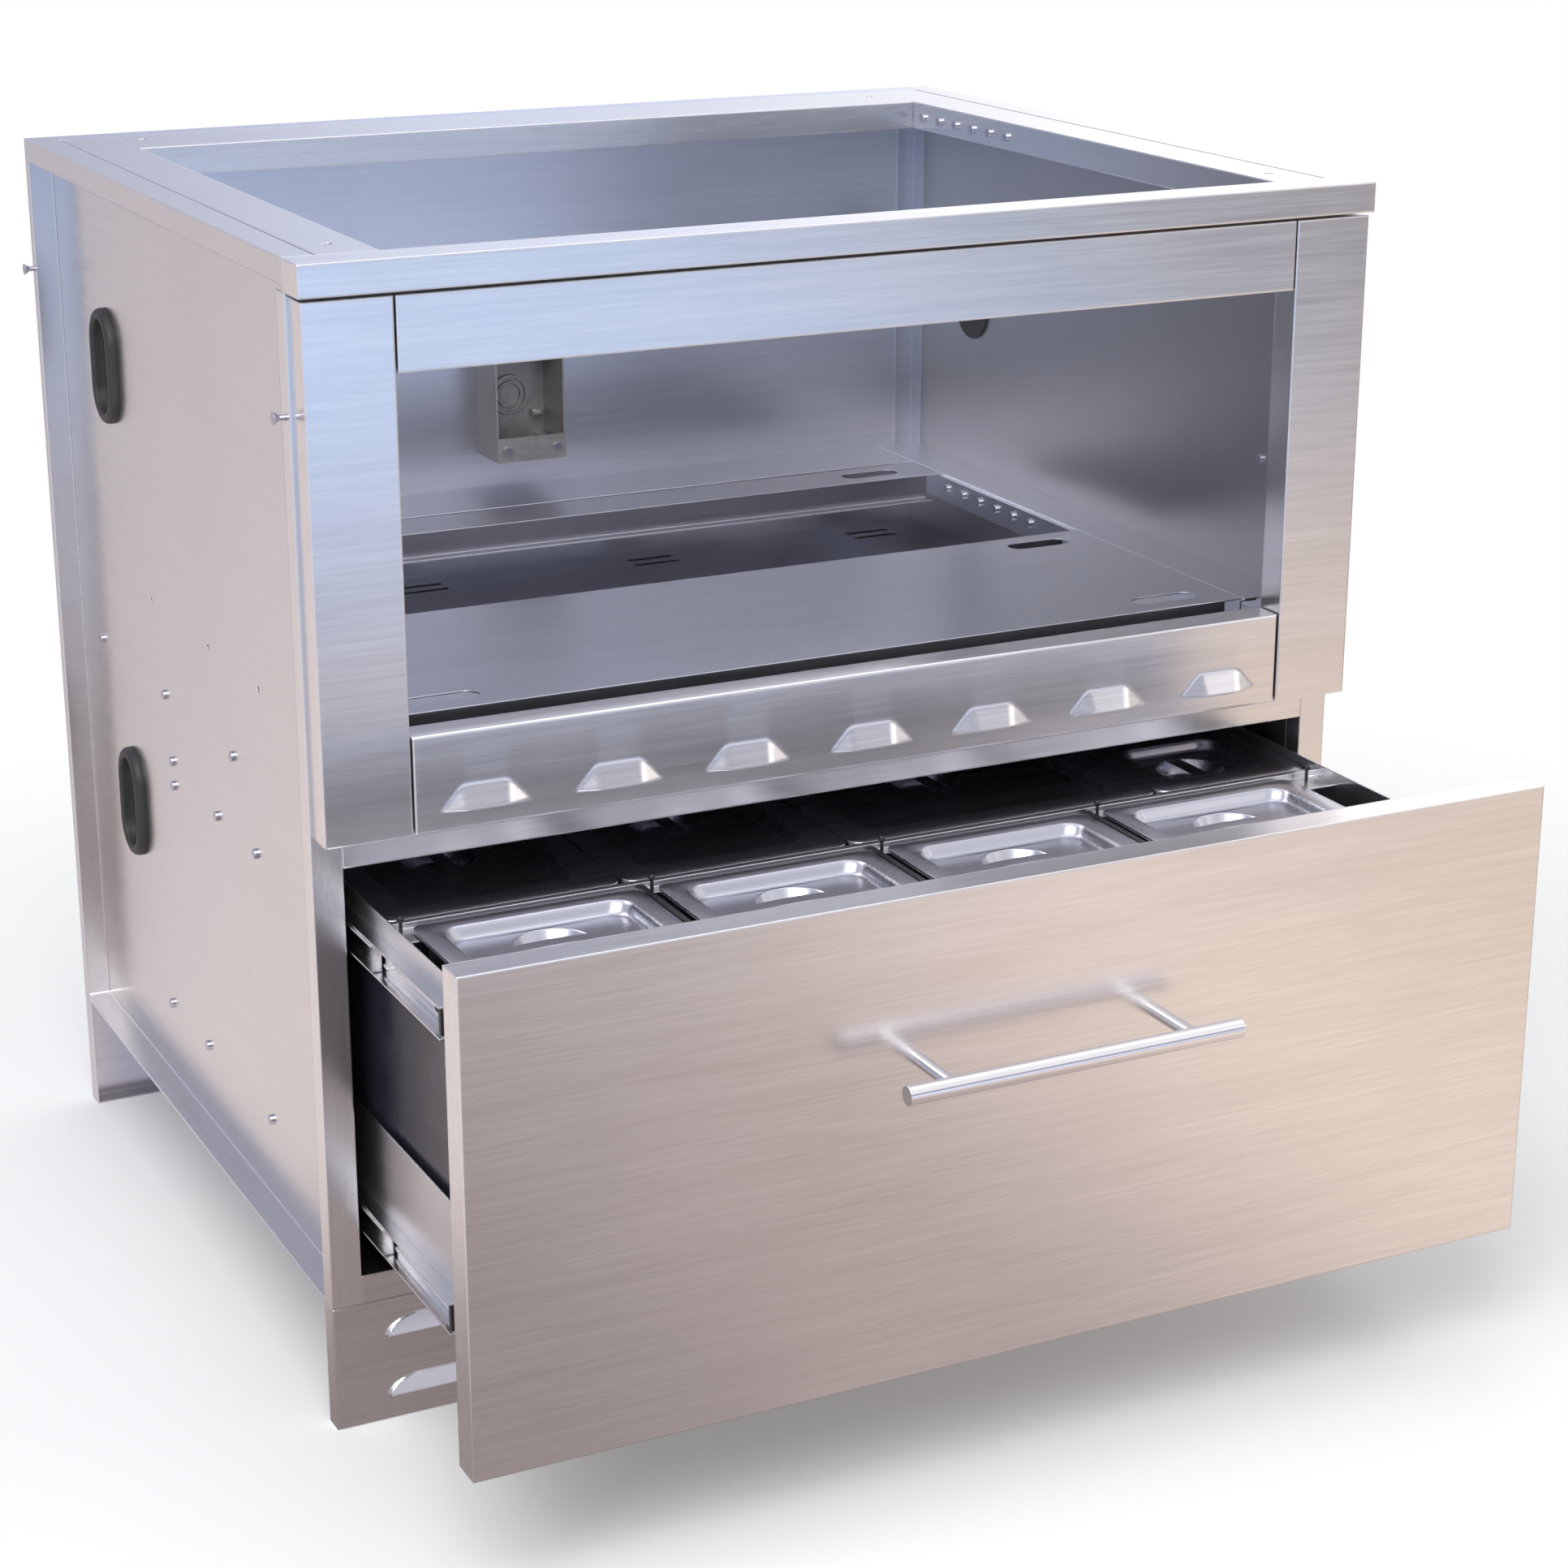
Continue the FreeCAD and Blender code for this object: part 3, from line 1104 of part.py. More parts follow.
term_z0 = "(%s + 2)" % bin_z0
term_shell = block("-terminal_half", "terminal_half", bin_y1, box_y1d + " - gauge", term_z0,
                   term_z0 + " + terminal_height")
term_hollow = block("-terminal_half + gauge", "terminal_half - gauge", bin_y1 + " - 1",
                    box_y1d + " - 2 * gauge",
                    term_z0 + " + gauge", term_z0 + " + terminal_height - gauge")
node("terminal_box", cut(term_shell, [term_hollow], "terminal_box"))

doc.recompute()

# Check every object, then write one file per piece
for thing in doc.Objects:
    if "Invalid" in thing.State or "Error" in thing.State:
        raise RuntimeError("%s is in state %s" % (thing.Name, thing.State))
for name, thing in NODES.items():
    shape = thing.Shape
    if shape.isNull() or not shape.isValid() or not shape.Solids:
        raise RuntimeError("%s has no valid solid" % name)

os.makedirs("parts", exist_ok=True)
for name, thing in NODES.items():
    thing.Shape.exportStep("parts/%s.step" % name)
print("wrote %d pieces" % len(NODES))
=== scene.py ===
import math

import bmesh
import bpy
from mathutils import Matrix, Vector


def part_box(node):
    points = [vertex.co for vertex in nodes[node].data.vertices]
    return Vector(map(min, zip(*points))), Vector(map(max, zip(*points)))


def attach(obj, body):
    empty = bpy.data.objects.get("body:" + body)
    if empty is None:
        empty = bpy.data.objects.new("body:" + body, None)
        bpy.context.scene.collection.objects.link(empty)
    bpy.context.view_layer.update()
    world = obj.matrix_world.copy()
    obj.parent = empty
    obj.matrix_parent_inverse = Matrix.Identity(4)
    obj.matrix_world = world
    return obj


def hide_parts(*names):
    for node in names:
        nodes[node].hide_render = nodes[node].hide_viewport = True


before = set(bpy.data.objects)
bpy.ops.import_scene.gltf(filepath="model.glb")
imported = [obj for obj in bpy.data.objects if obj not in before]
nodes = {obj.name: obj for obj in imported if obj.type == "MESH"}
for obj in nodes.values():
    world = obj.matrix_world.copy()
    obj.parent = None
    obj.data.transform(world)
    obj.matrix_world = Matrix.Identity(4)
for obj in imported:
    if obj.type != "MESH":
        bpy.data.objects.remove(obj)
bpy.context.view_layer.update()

scene = bpy.context.scene
MM = 0.001

# Camera, solved from the straight edges of the photograph
CAMERA_AT = Vector((-1.1036, -2.1059, 1.2340))
YAW = math.radians(26.46)
PITCH = math.radians(18.42)
SENSOR_WIDTH = 36.0
LENS = 75.44
CLIP_START = 0.05
CLIP_END = 200.0

camera_data = bpy.data.cameras.new("photo_camera")
camera_data.sensor_width = SENSOR_WIDTH
camera_data.lens = LENS
camera_data.clip_start = CLIP_START
camera_data.clip_end = CLIP_END
camera = bpy.data.objects.new("photo_camera", camera_data)
scene.collection.objects.link(camera)
level = math.cos(PITCH)
look = Vector((math.sin(YAW) * level, math.cos(YAW) * level, -math.sin(PITCH)))
camera.location = CAMERA_AT
camera.rotation_mode = "QUATERNION"
camera.rotation_quaternion = look.to_track_quat("-Z", "Y")
scene.camera = camera
scene.view_settings.view_transform = "Standard"

# Colour sockets of Blender's Mix node, which has one set of sockets for each kind of data
MIX_FIRST = 6
MIX_SECOND = 7
MIX_RESULT = 2


class Graph:
    """Short way to add and join the nodes of one material."""

    def __init__(self, tree):
        self.tree = tree

    def add(self, kind, **values):
        node = self.tree.nodes.new(kind)
        for key, value in values.items():
            setattr(node, key, value)
        return node

    def join(self, out_socket, in_socket):
        self.tree.links.new(out_socket, in_socket)

    def feed(self, value, socket):
        """Joins an output to the socket, or writes a number or colour on it."""
        if isinstance(value, tuple):
            socket.default_value = (*value, 1.0)
        elif isinstance(value, (int, float)):
            socket.default_value = value
        else:
            self.join(value, socket)

    def part(self, vector, axis):
        """One coordinate of a vector."""
        node = self.add("ShaderNodeSeparateXYZ")
        self.join(vector, node.inputs[0])
        return node.outputs[axis]

    def vector_math(self, operation, one, two):
        """Number from a vector and a fixed vector or another output."""
        node = self.add("ShaderNodeVectorMath", operation=operation)
        self.join(one, node.inputs[0])
        if isinstance(two, tuple):
            node.inputs[1].default_value = two
        else:
            self.join(two, node.inputs[1])
        return node.outputs["Value"]

    def noise(self, coords, per_metre, detail):
        """Noise with so many features per metre along each axis."""
        mapping = self.add("ShaderNodeMapping")
        mapping.inputs["Scale"].default_value = per_metre
        texture = self.add("ShaderNodeTexNoise")
        texture.inputs["Scale"].default_value = 1.0
        texture.inputs["Detail"].default_value = detail
        self.join(coords, mapping.inputs["Vector"])
        self.join(mapping.outputs["Vector"], texture.inputs["Vector"])
        return texture.outputs["Fac"]

    def span(self, value, low, high, to_low, to_high, smooth=False):
        """Maps low to high onto another span and holds the ends."""
        node = self.add("ShaderNodeMapRange")
        node.interpolation_type = "SMOOTHSTEP" if smooth else "LINEAR"
        node.inputs["From Min"].default_value = low
        node.inputs["From Max"].default_value = high
        node.inputs["To Min"].default_value = to_low
        node.inputs["To Max"].default_value = to_high
        self.join(value, node.inputs["Value"])
        return node.outputs["Result"]

    def fade(self, value, low, high):
        """Runs smoothly from none at low to all at high."""
        return self.span(value, low, high, 0.0, 1.0, True)

    def mix(self, factor, one, two):
        """Mix of two colours."""
        node = self.add("ShaderNodeMix", data_type="RGBA")
        self.join(factor, node.inputs["Factor"])
        self.feed(one, node.inputs[MIX_FIRST])
        self.feed(two, node.inputs[MIX_SECOND])
        return node.outputs[MIX_RESULT]

    def stops(self, value, stops):
        """Colour that runs smoothly through (place, colour) stops."""
        tone = stops[0][1]
        for (low, before), (high, colour) in zip(stops, stops[1:]):
            tone = self.mix(self.fade(value, low, high), tone, colour)
        return tone

    def math(self, operation, one, two):
        node = self.add("ShaderNodeMath", operation=operation)
        self.feed(one, node.inputs[0])
        self.feed(two, node.inputs[1])
        return node.outputs[0]

    def weighted(self, one, share, two):
        """Share of one number and the rest of another."""
        rest = round(1.0 - share, 3)
        return self.math("ADD", self.math("MULTIPLY", one, share), self.math("MULTIPLY", two, rest))

    def blend(self, factor, one, two):
        """Mix of two shaders, by an output or a fixed share."""
        node = self.add("ShaderNodeMixShader")
        self.feed(factor, node.inputs[0])
        self.join(one, node.inputs[1])
        self.join(two, node.inputs[2])
        return node.outputs[0]

    def total(self, one, two):
        """Sum of two shaders."""
        node = self.add("ShaderNodeAddShader")
        self.join(one, node.inputs[0])
        self.join(two, node.inputs[1])
        return node.outputs[0]

    def diffuse(self, colour):
        node = self.add("ShaderNodeBsdfDiffuse")
        self.feed(colour, node.inputs["Color"])
        return node.outputs[0]

    def glow(self, kind, colour, strength):
        """Emission in a material, or Background in the world."""
        node = self.add(kind)
        self.feed(colour, node.inputs["Color"])
        node.inputs["Strength"].default_value = strength
        return node.outputs[0]


RELIEF_DEPTH = 0.0004


def start_material(name):
    material = bpy.data.materials.new(name)
    material.use_nodes = True
    tree = material.node_tree
    tree.nodes.clear()
    graph = Graph(tree)
    output = graph.add("ShaderNodeOutputMaterial")
    shader = graph.add("ShaderNodeBsdfPrincipled")
    graph.join(shader.outputs["BSDF"], output.inputs["Surface"])
    coords = graph.add("ShaderNodeTexCoord").outputs["Object"]
    return material, graph, shader, coords


def add_relief(graph, shader, height, strength, normal=None):
    """Fine surface relief from a height, over the given normal."""
    relief = graph.add("ShaderNodeBump")
    relief.inputs["Strength"].default_value = strength
    relief.inputs["Distance"].default_value = RELIEF_DEPTH
    graph.join(height, relief.inputs["Height"])
    if normal is not None:
        graph.join(normal, relief.inputs["Normal"])
    graph.join(relief.outputs["Normal"], shader.inputs["Normal"])


def along(axis, long_way, across):
    """Features per metre for a grain that runs along one axis."""
    return tuple(long_way if name == axis else across for name in "xyz")


def shade(colour, factor):
    """The colour times a factor, held at white."""
    return tuple(min(1.0, part * factor) for part in colour)


# Grain of brushed sheet as features per metre along it and across it, and the noise's detail
STREAKS = (11.0, 380.0, 3.0)
HAIRS = (18.0, 1500.0, 2.0)
BANDS = (2.5, 45.0, 2.0)
CLOUD_PER_METRE = 5.5
CLOUD_DETAIL = 3.0
STREAK_SHARE = 0.6
BROAD_SHARE = 0.7

# Spans of the noise that are used, and what they change in brushed sheet
GRAIN_SPAN = (0.36, 0.64)
SMUDGE_SPAN = (0.52, 0.78)
CLOUD_SPAN = (0.3, 0.7)
SMUDGE = 0.96
SMUDGE_MOST = 0.5
GRAIN_ROUGH = 0.02
CLOUD_ROUGH = 0.015

# Folds: samples of the rounding, the turn of the normal that counts as a fold, and the brightness of its
# painted highlight
FOLD_SAMPLES = 6
FOLD_TURN = (0.80, 0.98)
FOLD_HIGHLIGHT = 1.35

# Painted shade, set after the photo: dark above a height and darker, rougher inner faces, as shares of the
# colour, with the width of the change in metres
PAINTED_SHADE = 0.10
PAINTED_SHADE_EDGE = 0.004
INNER_SHADE = 0.62
DULL_SHADE_EDGE = 0.0002
DULL_ROUGHER = 0.10


def steel(name, colour, axis, rough=0.25, streak=0.045, bump=0.008, edge=0.0012, fold_highlight=0.7,
          painted_shade_above=None, dull_and_shaded_within=None):
    """Brushed sheet: fine streaks along one axis, cloudy smudges, and rounded folds with a painted highlight.

    The sheet takes a painted shade above the given height, and a painted shade with more roughness nearer
    than the given distance to the middle plane.
    """
    material, graph, shader, coords = start_material(name)

    def grain_noise(long_way, across, detail):
        return graph.noise(coords, along(axis, long_way, across), detail)

    cloud = graph.noise(coords, (CLOUD_PER_METRE,) * 3, CLOUD_DETAIL)
    broad = graph.weighted(grain_noise(*STREAKS), STREAK_SHARE, grain_noise(*BANDS))
    grain = graph.weighted(broad, BROAD_SHARE, grain_noise(*HAIRS))
    in_grain = graph.span(grain, *GRAIN_SPAN, 0.0, 1.0)
    tone = graph.mix(in_grain, shade(colour, 1.0 - streak), shade(colour, 1.0 + streak))
    smudged = graph.span(cloud, *SMUDGE_SPAN, 0.0, SMUDGE_MOST, True)
    tone = graph.mix(smudged, tone, shade(colour, SMUDGE))

    round_edge = graph.add("ShaderNodeBevel", samples=FOLD_SAMPLES)
    round_edge.inputs["Radius"].default_value = edge
    rounded = round_edge.outputs["Normal"]
    flat = graph.add("ShaderNodeNewGeometry").outputs["Normal"]
    turn = graph.vector_math("DOT_PRODUCT", rounded, flat)
    # Painted highlight: the colour is brighter along folds, where the rounded normal turns from the flat one.
    fold = graph.span(turn, *FOLD_TURN, fold_highlight, 0.0)
    tone = graph.mix(fold, tone, shade(colour, FOLD_HIGHLIGHT))

    grain_rough = graph.span(grain, *GRAIN_SPAN, rough - GRAIN_ROUGH, rough + GRAIN_ROUGH)
    cloud_rough = graph.span(cloud, *CLOUD_SPAN, -CLOUD_ROUGH, CLOUD_ROUGH)
    rough_tone = graph.math("ADD", grain_rough, cloud_rough)

    # Painted shade: the colour is darker above a height.
    if painted_shade_above is not None:
        above = graph.fade(graph.part(coords, "Z"), painted_shade_above, painted_shade_above + PAINTED_SHADE_EDGE)
        tone = graph.mix(above, tone, shade(colour, PAINTED_SHADE))
    # Painted shade: the inner faces near the middle plane are darker, and also rougher.
    if dull_and_shaded_within is not None:
        from_middle = graph.math("ABSOLUTE", graph.part(coords, "X"), 0.0)
        inside = graph.span(from_middle, dull_and_shaded_within, dull_and_shaded_within + DULL_SHADE_EDGE, 1.0, 0.0)
        tone = graph.mix(inside, tone, shade(colour, INNER_SHADE))
        rough_tone = graph.math("ADD", rough_tone, graph.math("MULTIPLY", inside, DULL_ROUGHER))

    graph.join(tone, shader.inputs["Base Color"])
    graph.join(rough_tone, shader.inputs["Roughness"])
    shader.inputs["Metallic"].default_value = 1.0
    add_relief(graph, shader, broad, bump, rounded)
    return material


# Coated surfaces: detail of the specks and the clouds, size of a cloud, and the spans of the noise
SPECK_DETAIL = 4.0
CLOUD_TO_SPECK = 0.06
SPECK_SPAN = (0.35, 0.65)
COAT_SPAN = (0.4, 0.7)
COAT_MOST = 0.6
COAT_ROUGH = 0.07


def coated(name, colour, rough, specks, bump, metallic=0.0, spread=0.25):
    """Rubber, plastic, enamel or galvanised sheet: mottled colour and fine surface relief."""
    material, graph, shader, coords = start_material(name)
    speck = graph.noise(coords, (specks,) * 3, SPECK_DETAIL)
    cloud = graph.noise(coords, (specks * CLOUD_TO_SPECK,) * 3, CLOUD_DETAIL)
    light = shade(colour, 1.0 + spread)
    tone = graph.mix(graph.span(speck, *SPECK_SPAN, 0.0, 1.0), shade(colour, 1.0 - spread), light)
    tone = graph.mix(graph.span(cloud, *COAT_SPAN, 0.0, COAT_MOST, True), tone, light)
    graph.join(tone, shader.inputs["Base Color"])
    rough_tone = graph.span(cloud, *CLOUD_SPAN, rough - COAT_ROUGH, rough + COAT_ROUGH)
    graph.join(rough_tone, shader.inputs["Roughness"])
    shader.inputs["Metallic"].default_value = metallic
    add_relief(graph, shader, speck, bump)
    return material


# Materials
SHEET = (0.72, 0.70, 0.70)
COOL = (0.55, 0.555, 0.605)
FACE = (0.80, 0.775, 0.77)
DRAWER = (0.70, 0.69, 0.71)
BACK = (0.68, 0.685, 0.75)
SHIELD = (0.76, 0.76, 0.82)
CHANNEL = (0.47, 0.47, 0.51)
PAN = (0.52, 0.525, 0.585)
HANDLE = (0.86, 0.84, 0.85)
HANDLE_POST = (0.78, 0.77, 0.78)
BRIGHT_ZINC = (0.76, 0.75, 0.76)
SCREW = (0.50, 0.50, 0.56)
HEATER = (0.25, 0.24, 0.23)
GALVANISED = (0.36, 0.345, 0.34)
RUBBER = (0.028, 0.027, 0.028)
PLASTIC = (0.012, 0.012, 0.014)
ENAMEL = (0.024, 0.024, 0.036)
HOLE_SHADE = (0.010, 0.010, 0.011)

# The rail behind the vent panel has painted shade above this height, and the side sheets have painted shade
# and more roughness within this distance from the middle plane, which holds their inner faces, in metres
PAINTED_SHADE_HEIGHT = 0.474
DULL_SHADE_INSIDE = 0.4088

# OUTER_FACE and INNER_SHEET also set how strong the painted highlight on folds is.
OUTER_FACE = {"rough": 0.24, "streak": 0.08, "edge": 0.0022, "fold_highlight": 0.55}
INNER_SHEET = {"bump": 0.004, "fold_highlight": 0.9}
SMALL_EDGE = {"edge": 0.0006}
face_x = steel("face_steel_across", FACE, "x", **OUTER_FACE)
# The rail carries a painted shade above a height.
rail_x = steel("rail_painted_shade_above", FACE, "x", **OUTER_FACE, painted_shade_above=PAINTED_SHADE_HEIGHT)
post_z = steel("post_steel_upright", FACE, "z", rough=0.26, streak=0.05, edge=0.0020)
sheet_x = steel("sheet_across", SHEET, "x", rough=0.26, streak=0.06, edge=0.0020, fold_highlight=0.8)
sheet_y = steel("sheet_deep", SHEET, "y", streak=0.04, edge=0.0020, **INNER_SHEET)
# The side sheets carry a painted shade on their inner faces.
side_y = steel("side_sheet_deep", SHEET, "y", streak=0.04, bump=0.004, edge=0.0022, fold_highlight=1.0,
               dull_and_shaded_within=DULL_SHADE_INSIDE)
inner_x = steel("inner_sheet_across", COOL, "x", rough=0.33, streak=0.06, **INNER_SHEET)
back_x = steel("back_sheet_across", BACK, "x", rough=0.31, streak=0.06, **INNER_SHEET)
shield_x = steel("shield_sheet_across", SHIELD, "x", rough=0.34, streak=0.05, **INNER_SHEET)
channel_x = steel("channel_sheet_across", CHANNEL, "x", rough=0.34, streak=0.05, **INNER_SHEET)
inner_y = steel("inner_sheet_deep", COOL, "y", rough=0.33, streak=0.06, **INNER_SHEET)
drawer_y = steel("drawer_sheet_deep", DRAWER, "y", rough=0.30)
drawer_x = steel("drawer_sheet_across", DRAWER, "x", rough=0.30)
pan_satin = steel("pan_satin", PAN, "x", rough=0.28, streak=0.015, bump=0.003, fold_highlight=0.5, **SMALL_EDGE)
handle_steel = steel("handle_polished", HANDLE, "x", rough=0.15, streak=0.03, **SMALL_EDGE)
post_steel = steel("handle_post_polished", HANDLE_POST, "y", rough=0.18, streak=0.03, **SMALL_EDGE)
slide_zinc = steel("slide_bright_zinc", BRIGHT_ZINC, "y", rough=0.16, streak=0.05, bump=0.010, **SMALL_EDGE)
screw_steel = steel("screw_turned", SCREW, "z", rough=0.30, streak=0.04, fold_highlight=0.4, **SMALL_EDGE)
heater_sheath = steel("heater_dulled", HEATER, "x", rough=0.45, streak=0.12)
zinc_grey = coated("zinc_galvanised", GALVANISED, rough=0.45, specks=160.0, bump=0.08, metallic=0.75,
                   spread=0.10)
rubber = coated("grommet_rubber", RUBBER, rough=0.55, specks=900.0, bump=0.2)
black_plastic = coated("hook_plastic", PLASTIC, rough=0.4, specks=700.0, bump=0.1)
bin_enamel = coated("bin_dark_enamel", ENAMEL, rough=0.30, specks=500.0, bump=0.05, spread=0.2)
# Dark inserts in the slide slots: painted shade in place of open holes.
painted_hole_shade = coated("hole_painted_shade", HOLE_SHADE, rough=0.6, specks=600.0, bump=0.05)

# Nodes by material; the pans and lids have the satin of pans
MADE_OF = (
    (side_y, ("side_panel_left", "side_panel_right")),
    (post_z, ("front_post_left", "front_post_right")),
    (face_x, ("top_rail_front", "stile_left", "stile_right", "upper_panel", "vent_panel", "drawer_front")),
    (rail_x, ("drawer_top_rail",)),
    (sheet_x, ("top_rail_back", "upper_cross_rail", "bottom_rail", "toe_kick_front", "toe_kick_rear")),
    (sheet_y, ("top_rail_left", "top_rail_right")),
    (inner_x, ("rear_posts", "cabinet_floor", "shelf_rear_strip", "lift_out_shelf")),
    (inner_y, ("shelf_ledges",)),
    (back_x, ("back_panel",)),
    (channel_x, ("shelf_channel",)),
    (shield_x, ("heat_shield",)),
    (zinc_grey, ("junction_box", "junction_cover", "terminal_box")),
    (rubber, ("side_grommets",)),
    (screw_steel, ("panel_screws", "rail_screws", "hang_studs")),
    (slide_zinc, ("slide_cabinet_members", "slide_middle_members", "slide_drawer_members")),
    (drawer_x, ("drawer_liner", "drawer_back", "drawer_floor", "pan_bars")),
    (drawer_y, ("drawer_side_left", "drawer_side_right")),
    (handle_steel, ("handle_bar",)),
    (post_steel, ("handle_posts",)),
    (black_plastic, ("slide_bumpers", "pan_dividers", "pan_hooks")),
    (bin_enamel, ("warm_bin",)),
    (heater_sheath, ("heater_element",)),
)
look_of = {name: material for material, names in MADE_OF for name in names}
for name, thing in nodes.items():
    thing.data.materials.clear()
    thing.data.materials.append(look_of.get(name, pan_satin))

# Mesh helpers; vertices nearer than this are one, and edges flatter than this are shaded smooth
SAME_PLACE = 1e-7
SMOOTH_BELOW = 40.0


def new_piece(name, mesh, body, material):
    thing = bpy.data.objects.new(name, mesh)
    scene.collection.objects.link(thing)
    mesh.materials.append(material)
    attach(thing, body)
    return thing


def round_rect(half_x, half_y, radius, count):
    """Points of a rounded rectangle, the same number in each corner."""
    points = []
    per_corner = count // 4
    in_x = half_x - radius
    in_y = half_y - radius
    corners = ((in_x, in_y, 0.0), (-in_x, in_y, 90.0), (-in_x, -in_y, 180.0), (in_x, -in_y, 270.0))
    for cx, cy, start in corners:
        for step in range(per_corner):
            angle = math.radians(start + 90.0 * step / (per_corner - 1))
            points.append((cx + radius * math.cos(angle), cy + radius * math.sin(angle)))
    return points


def obround(half_width, half_height, count):
    """Points of an obround that is longer along its second axis."""
    points = []
    reach = half_height - half_width
    per_end = count // 2
    for start, lift in ((0.0, reach), (180.0, -reach)):
        for step in range(per_end):
            angle = math.radians(start + 180.0 * step / (per_end - 1))
            points.append((half_width * math.cos(angle), lift + half_width * math.sin(angle)))
    return points


def loft(bm, rings, capped=True):
    """Skin between rings of the same number of points, with a face over each end ring if capped."""
    made = [[bm.verts.new(p) for p in ring] for ring in rings]
    for one, two in zip(made, made[1:]):
        count = len(one)
        for i in range(count):
            j = (i + 1) % count
            bm.faces.new((one[i], one[j], two[j], two[i]))
    if capped:
        bm.faces.new(made[0][::-1])
        bm.faces.new(made[-1])


def finish_mesh(bm, name, angle=SMOOTH_BELOW):
    bmesh.ops.remove_doubles(bm, verts=bm.verts, dist=SAME_PLACE)
    bmesh.ops.recalc_face_normals(bm, faces=bm.faces)
    mesh = bpy.data.meshes.new(name)
    bm.to_mesh(mesh)
    bm.free()
    mesh.polygons.foreach_set("use_smooth", [True] * len(mesh.polygons))
    mesh.set_sharp_from_angle(angle=math.radians(angle))
    return mesh


# Lid section as (inset from the rim, corner radius, drop) and, in the grip well, (radius, drop), in mm
LID_UNDER = [
    (20.2, 12.5, -10.7), (17.6, 13.5, -10.4), (15.9, 14.0, -9.2), (14.8, 14.0, -7.2), (13.2, 14.0, -3.4),
    (12.6, 13.8, -2.3), (11.8, 13.5, -1.95), (0.9, 12.0, -1.95), (0.3, 12.0, -1.75), (0.0, 12.0, -1.2),
]
LID_TOP = [
    (0.0, 12.0, -0.8), (0.3, 12.0, -0.2), (0.9, 12.0, 0.0), (10.8, 13.5, 0.0), (12.2, 13.8, -0.35),
    (13.3, 14.0, -1.2), (14.3, 14.0, -2.8), (15.9, 14.0, -6.4), (16.9, 14.0, -8.1), (18.4, 13.5, -9.2),
    (20.8, 12.5, -9.5), (22.0, 12.5, -9.5),
]
WELL_UNDER = [(16.0, -22.7), (20.4, -22.4), (22.2, -21.4), (23.2, -20.2), (29.0, -10.9)]
WELL_TOP = [
    (30.4, -9.5), (28.9, -9.5), (28.2, -9.7), (27.7, -10.4), (22.0, -20.0), (21.2, -21.0), (19.6, -21.5),
    (4.0, -21.6),
]
LID_POINTS = 96

# The section is drawn for this border; insets beyond the flange move in with a wider one
LID_BORDER = 14.0
FLANGE_PART = 5.0

# Strap over the grip well: half length, drop and arch of its middle line, and (across, rise) section, in mm
STRAP_REACH = 29.5
STRAP_DROP = -9.4
STRAP_ARCH = 0.8
STRAP_STEPS = 14
STRAP_SECTION = [(-6.2, -1.1), (-6.5, -0.6), (-6.0, -0.1), (0.0, 0.1), (6.0, -0.1), (6.5, -0.6), (6.2, -1.1)]

# Rows of lids as name, count, axis of the strap and border in mm
LID_ROWS = (("front", 4, "x", 17.5), ("rear", 5, "y", 25.0))


def lid_mesh(name, low, high, strap_axis, border):
    """Drawn lid: flat flange, soft step to a tray, a steep round grip well and a strap across the well."""
    cx = (low.x + high.x) / 2
    cy = (low.y + high.y) / 2
    hx = (high.x - low.x) / 2
    hy = (high.y - low.y) / 2
    top = high.z

    def tray_ring(inset, radius, drop):
        if inset > FLANGE_PART:
            inset += border - LID_BORDER
        shape = round_rect(hx - inset * MM, hy - inset * MM, radius * MM, LID_POINTS)
        return [(cx + x, cy + y, top + drop * MM) for x, y in shape]

    def well_ring(radius, drop):
        shape = round_rect(radius * MM, radius * MM, radius * MM, LID_POINTS)
        return [(cx + x, cy + y, top + drop * MM) for x, y in shape]

    bm = bmesh.new()
    rings = [well_ring(*row) for row in WELL_UNDER]
    rings += [tray_ring(*row) for row in LID_UNDER + LID_TOP]
    rings += [well_ring(*row) for row in WELL_TOP]
    loft(bm, rings)
    strap = []
    for i in range(STRAP_STEPS + 1):
        reach = STRAP_REACH * (2.0 * i / STRAP_STEPS - 1.0)
        middle = STRAP_DROP + STRAP_ARCH * (1.0 - (reach / STRAP_REACH) ** 2)
        ring = []
        for across, rise in STRAP_SECTION:
            z = top + (middle + rise) * MM
            if strap_axis == "x":
                ring.append((cx + reach * MM, cy - across * MM, z))
            else:
                ring.append((cx + across * MM, cy + reach * MM, z))
        strap.append(ring)
    loft(bm, strap)
    return finish_mesh(bm, name)


for row, count, strap_axis, border in LID_ROWS:
    for index in range(1, count + 1):
        name = "lid_%s_%d" % (row, index)
        low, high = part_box(name)
        mesh = lid_mesh(name + "_drawn", low, high, strap_axis, border)
        piece = new_piece(name + "_drawn", mesh, name, pan_satin)
        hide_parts(name)

# Grommet section as (half width, distance out from the side sheet), in mm
GROMMET = [
    (3.0, -2.2), (18.4, -2.2), (19.5, -1.8), (20.0, -0.8), (20.0, 4.6), (20.3, 6.3), (21.2, 7.4), (22.6, 7.9),
    (24.6, 7.9), (26.6, 7.2), (28.1, 5.6), (28.8, 3.4), (29.0, 1.2), (28.7, 0.05), (22.8, 0.05),
    (22.8, -1.25), (26.7, -1.25), (26.7, -3.4), (26.0, -4.1), (3.0, -4.1),
]
GROMMET_RISE = 19.0
GROMMET_HALF_TALL = 48.0
GROMMET_STAND = 8.0
GROMMET_POINTS = 72


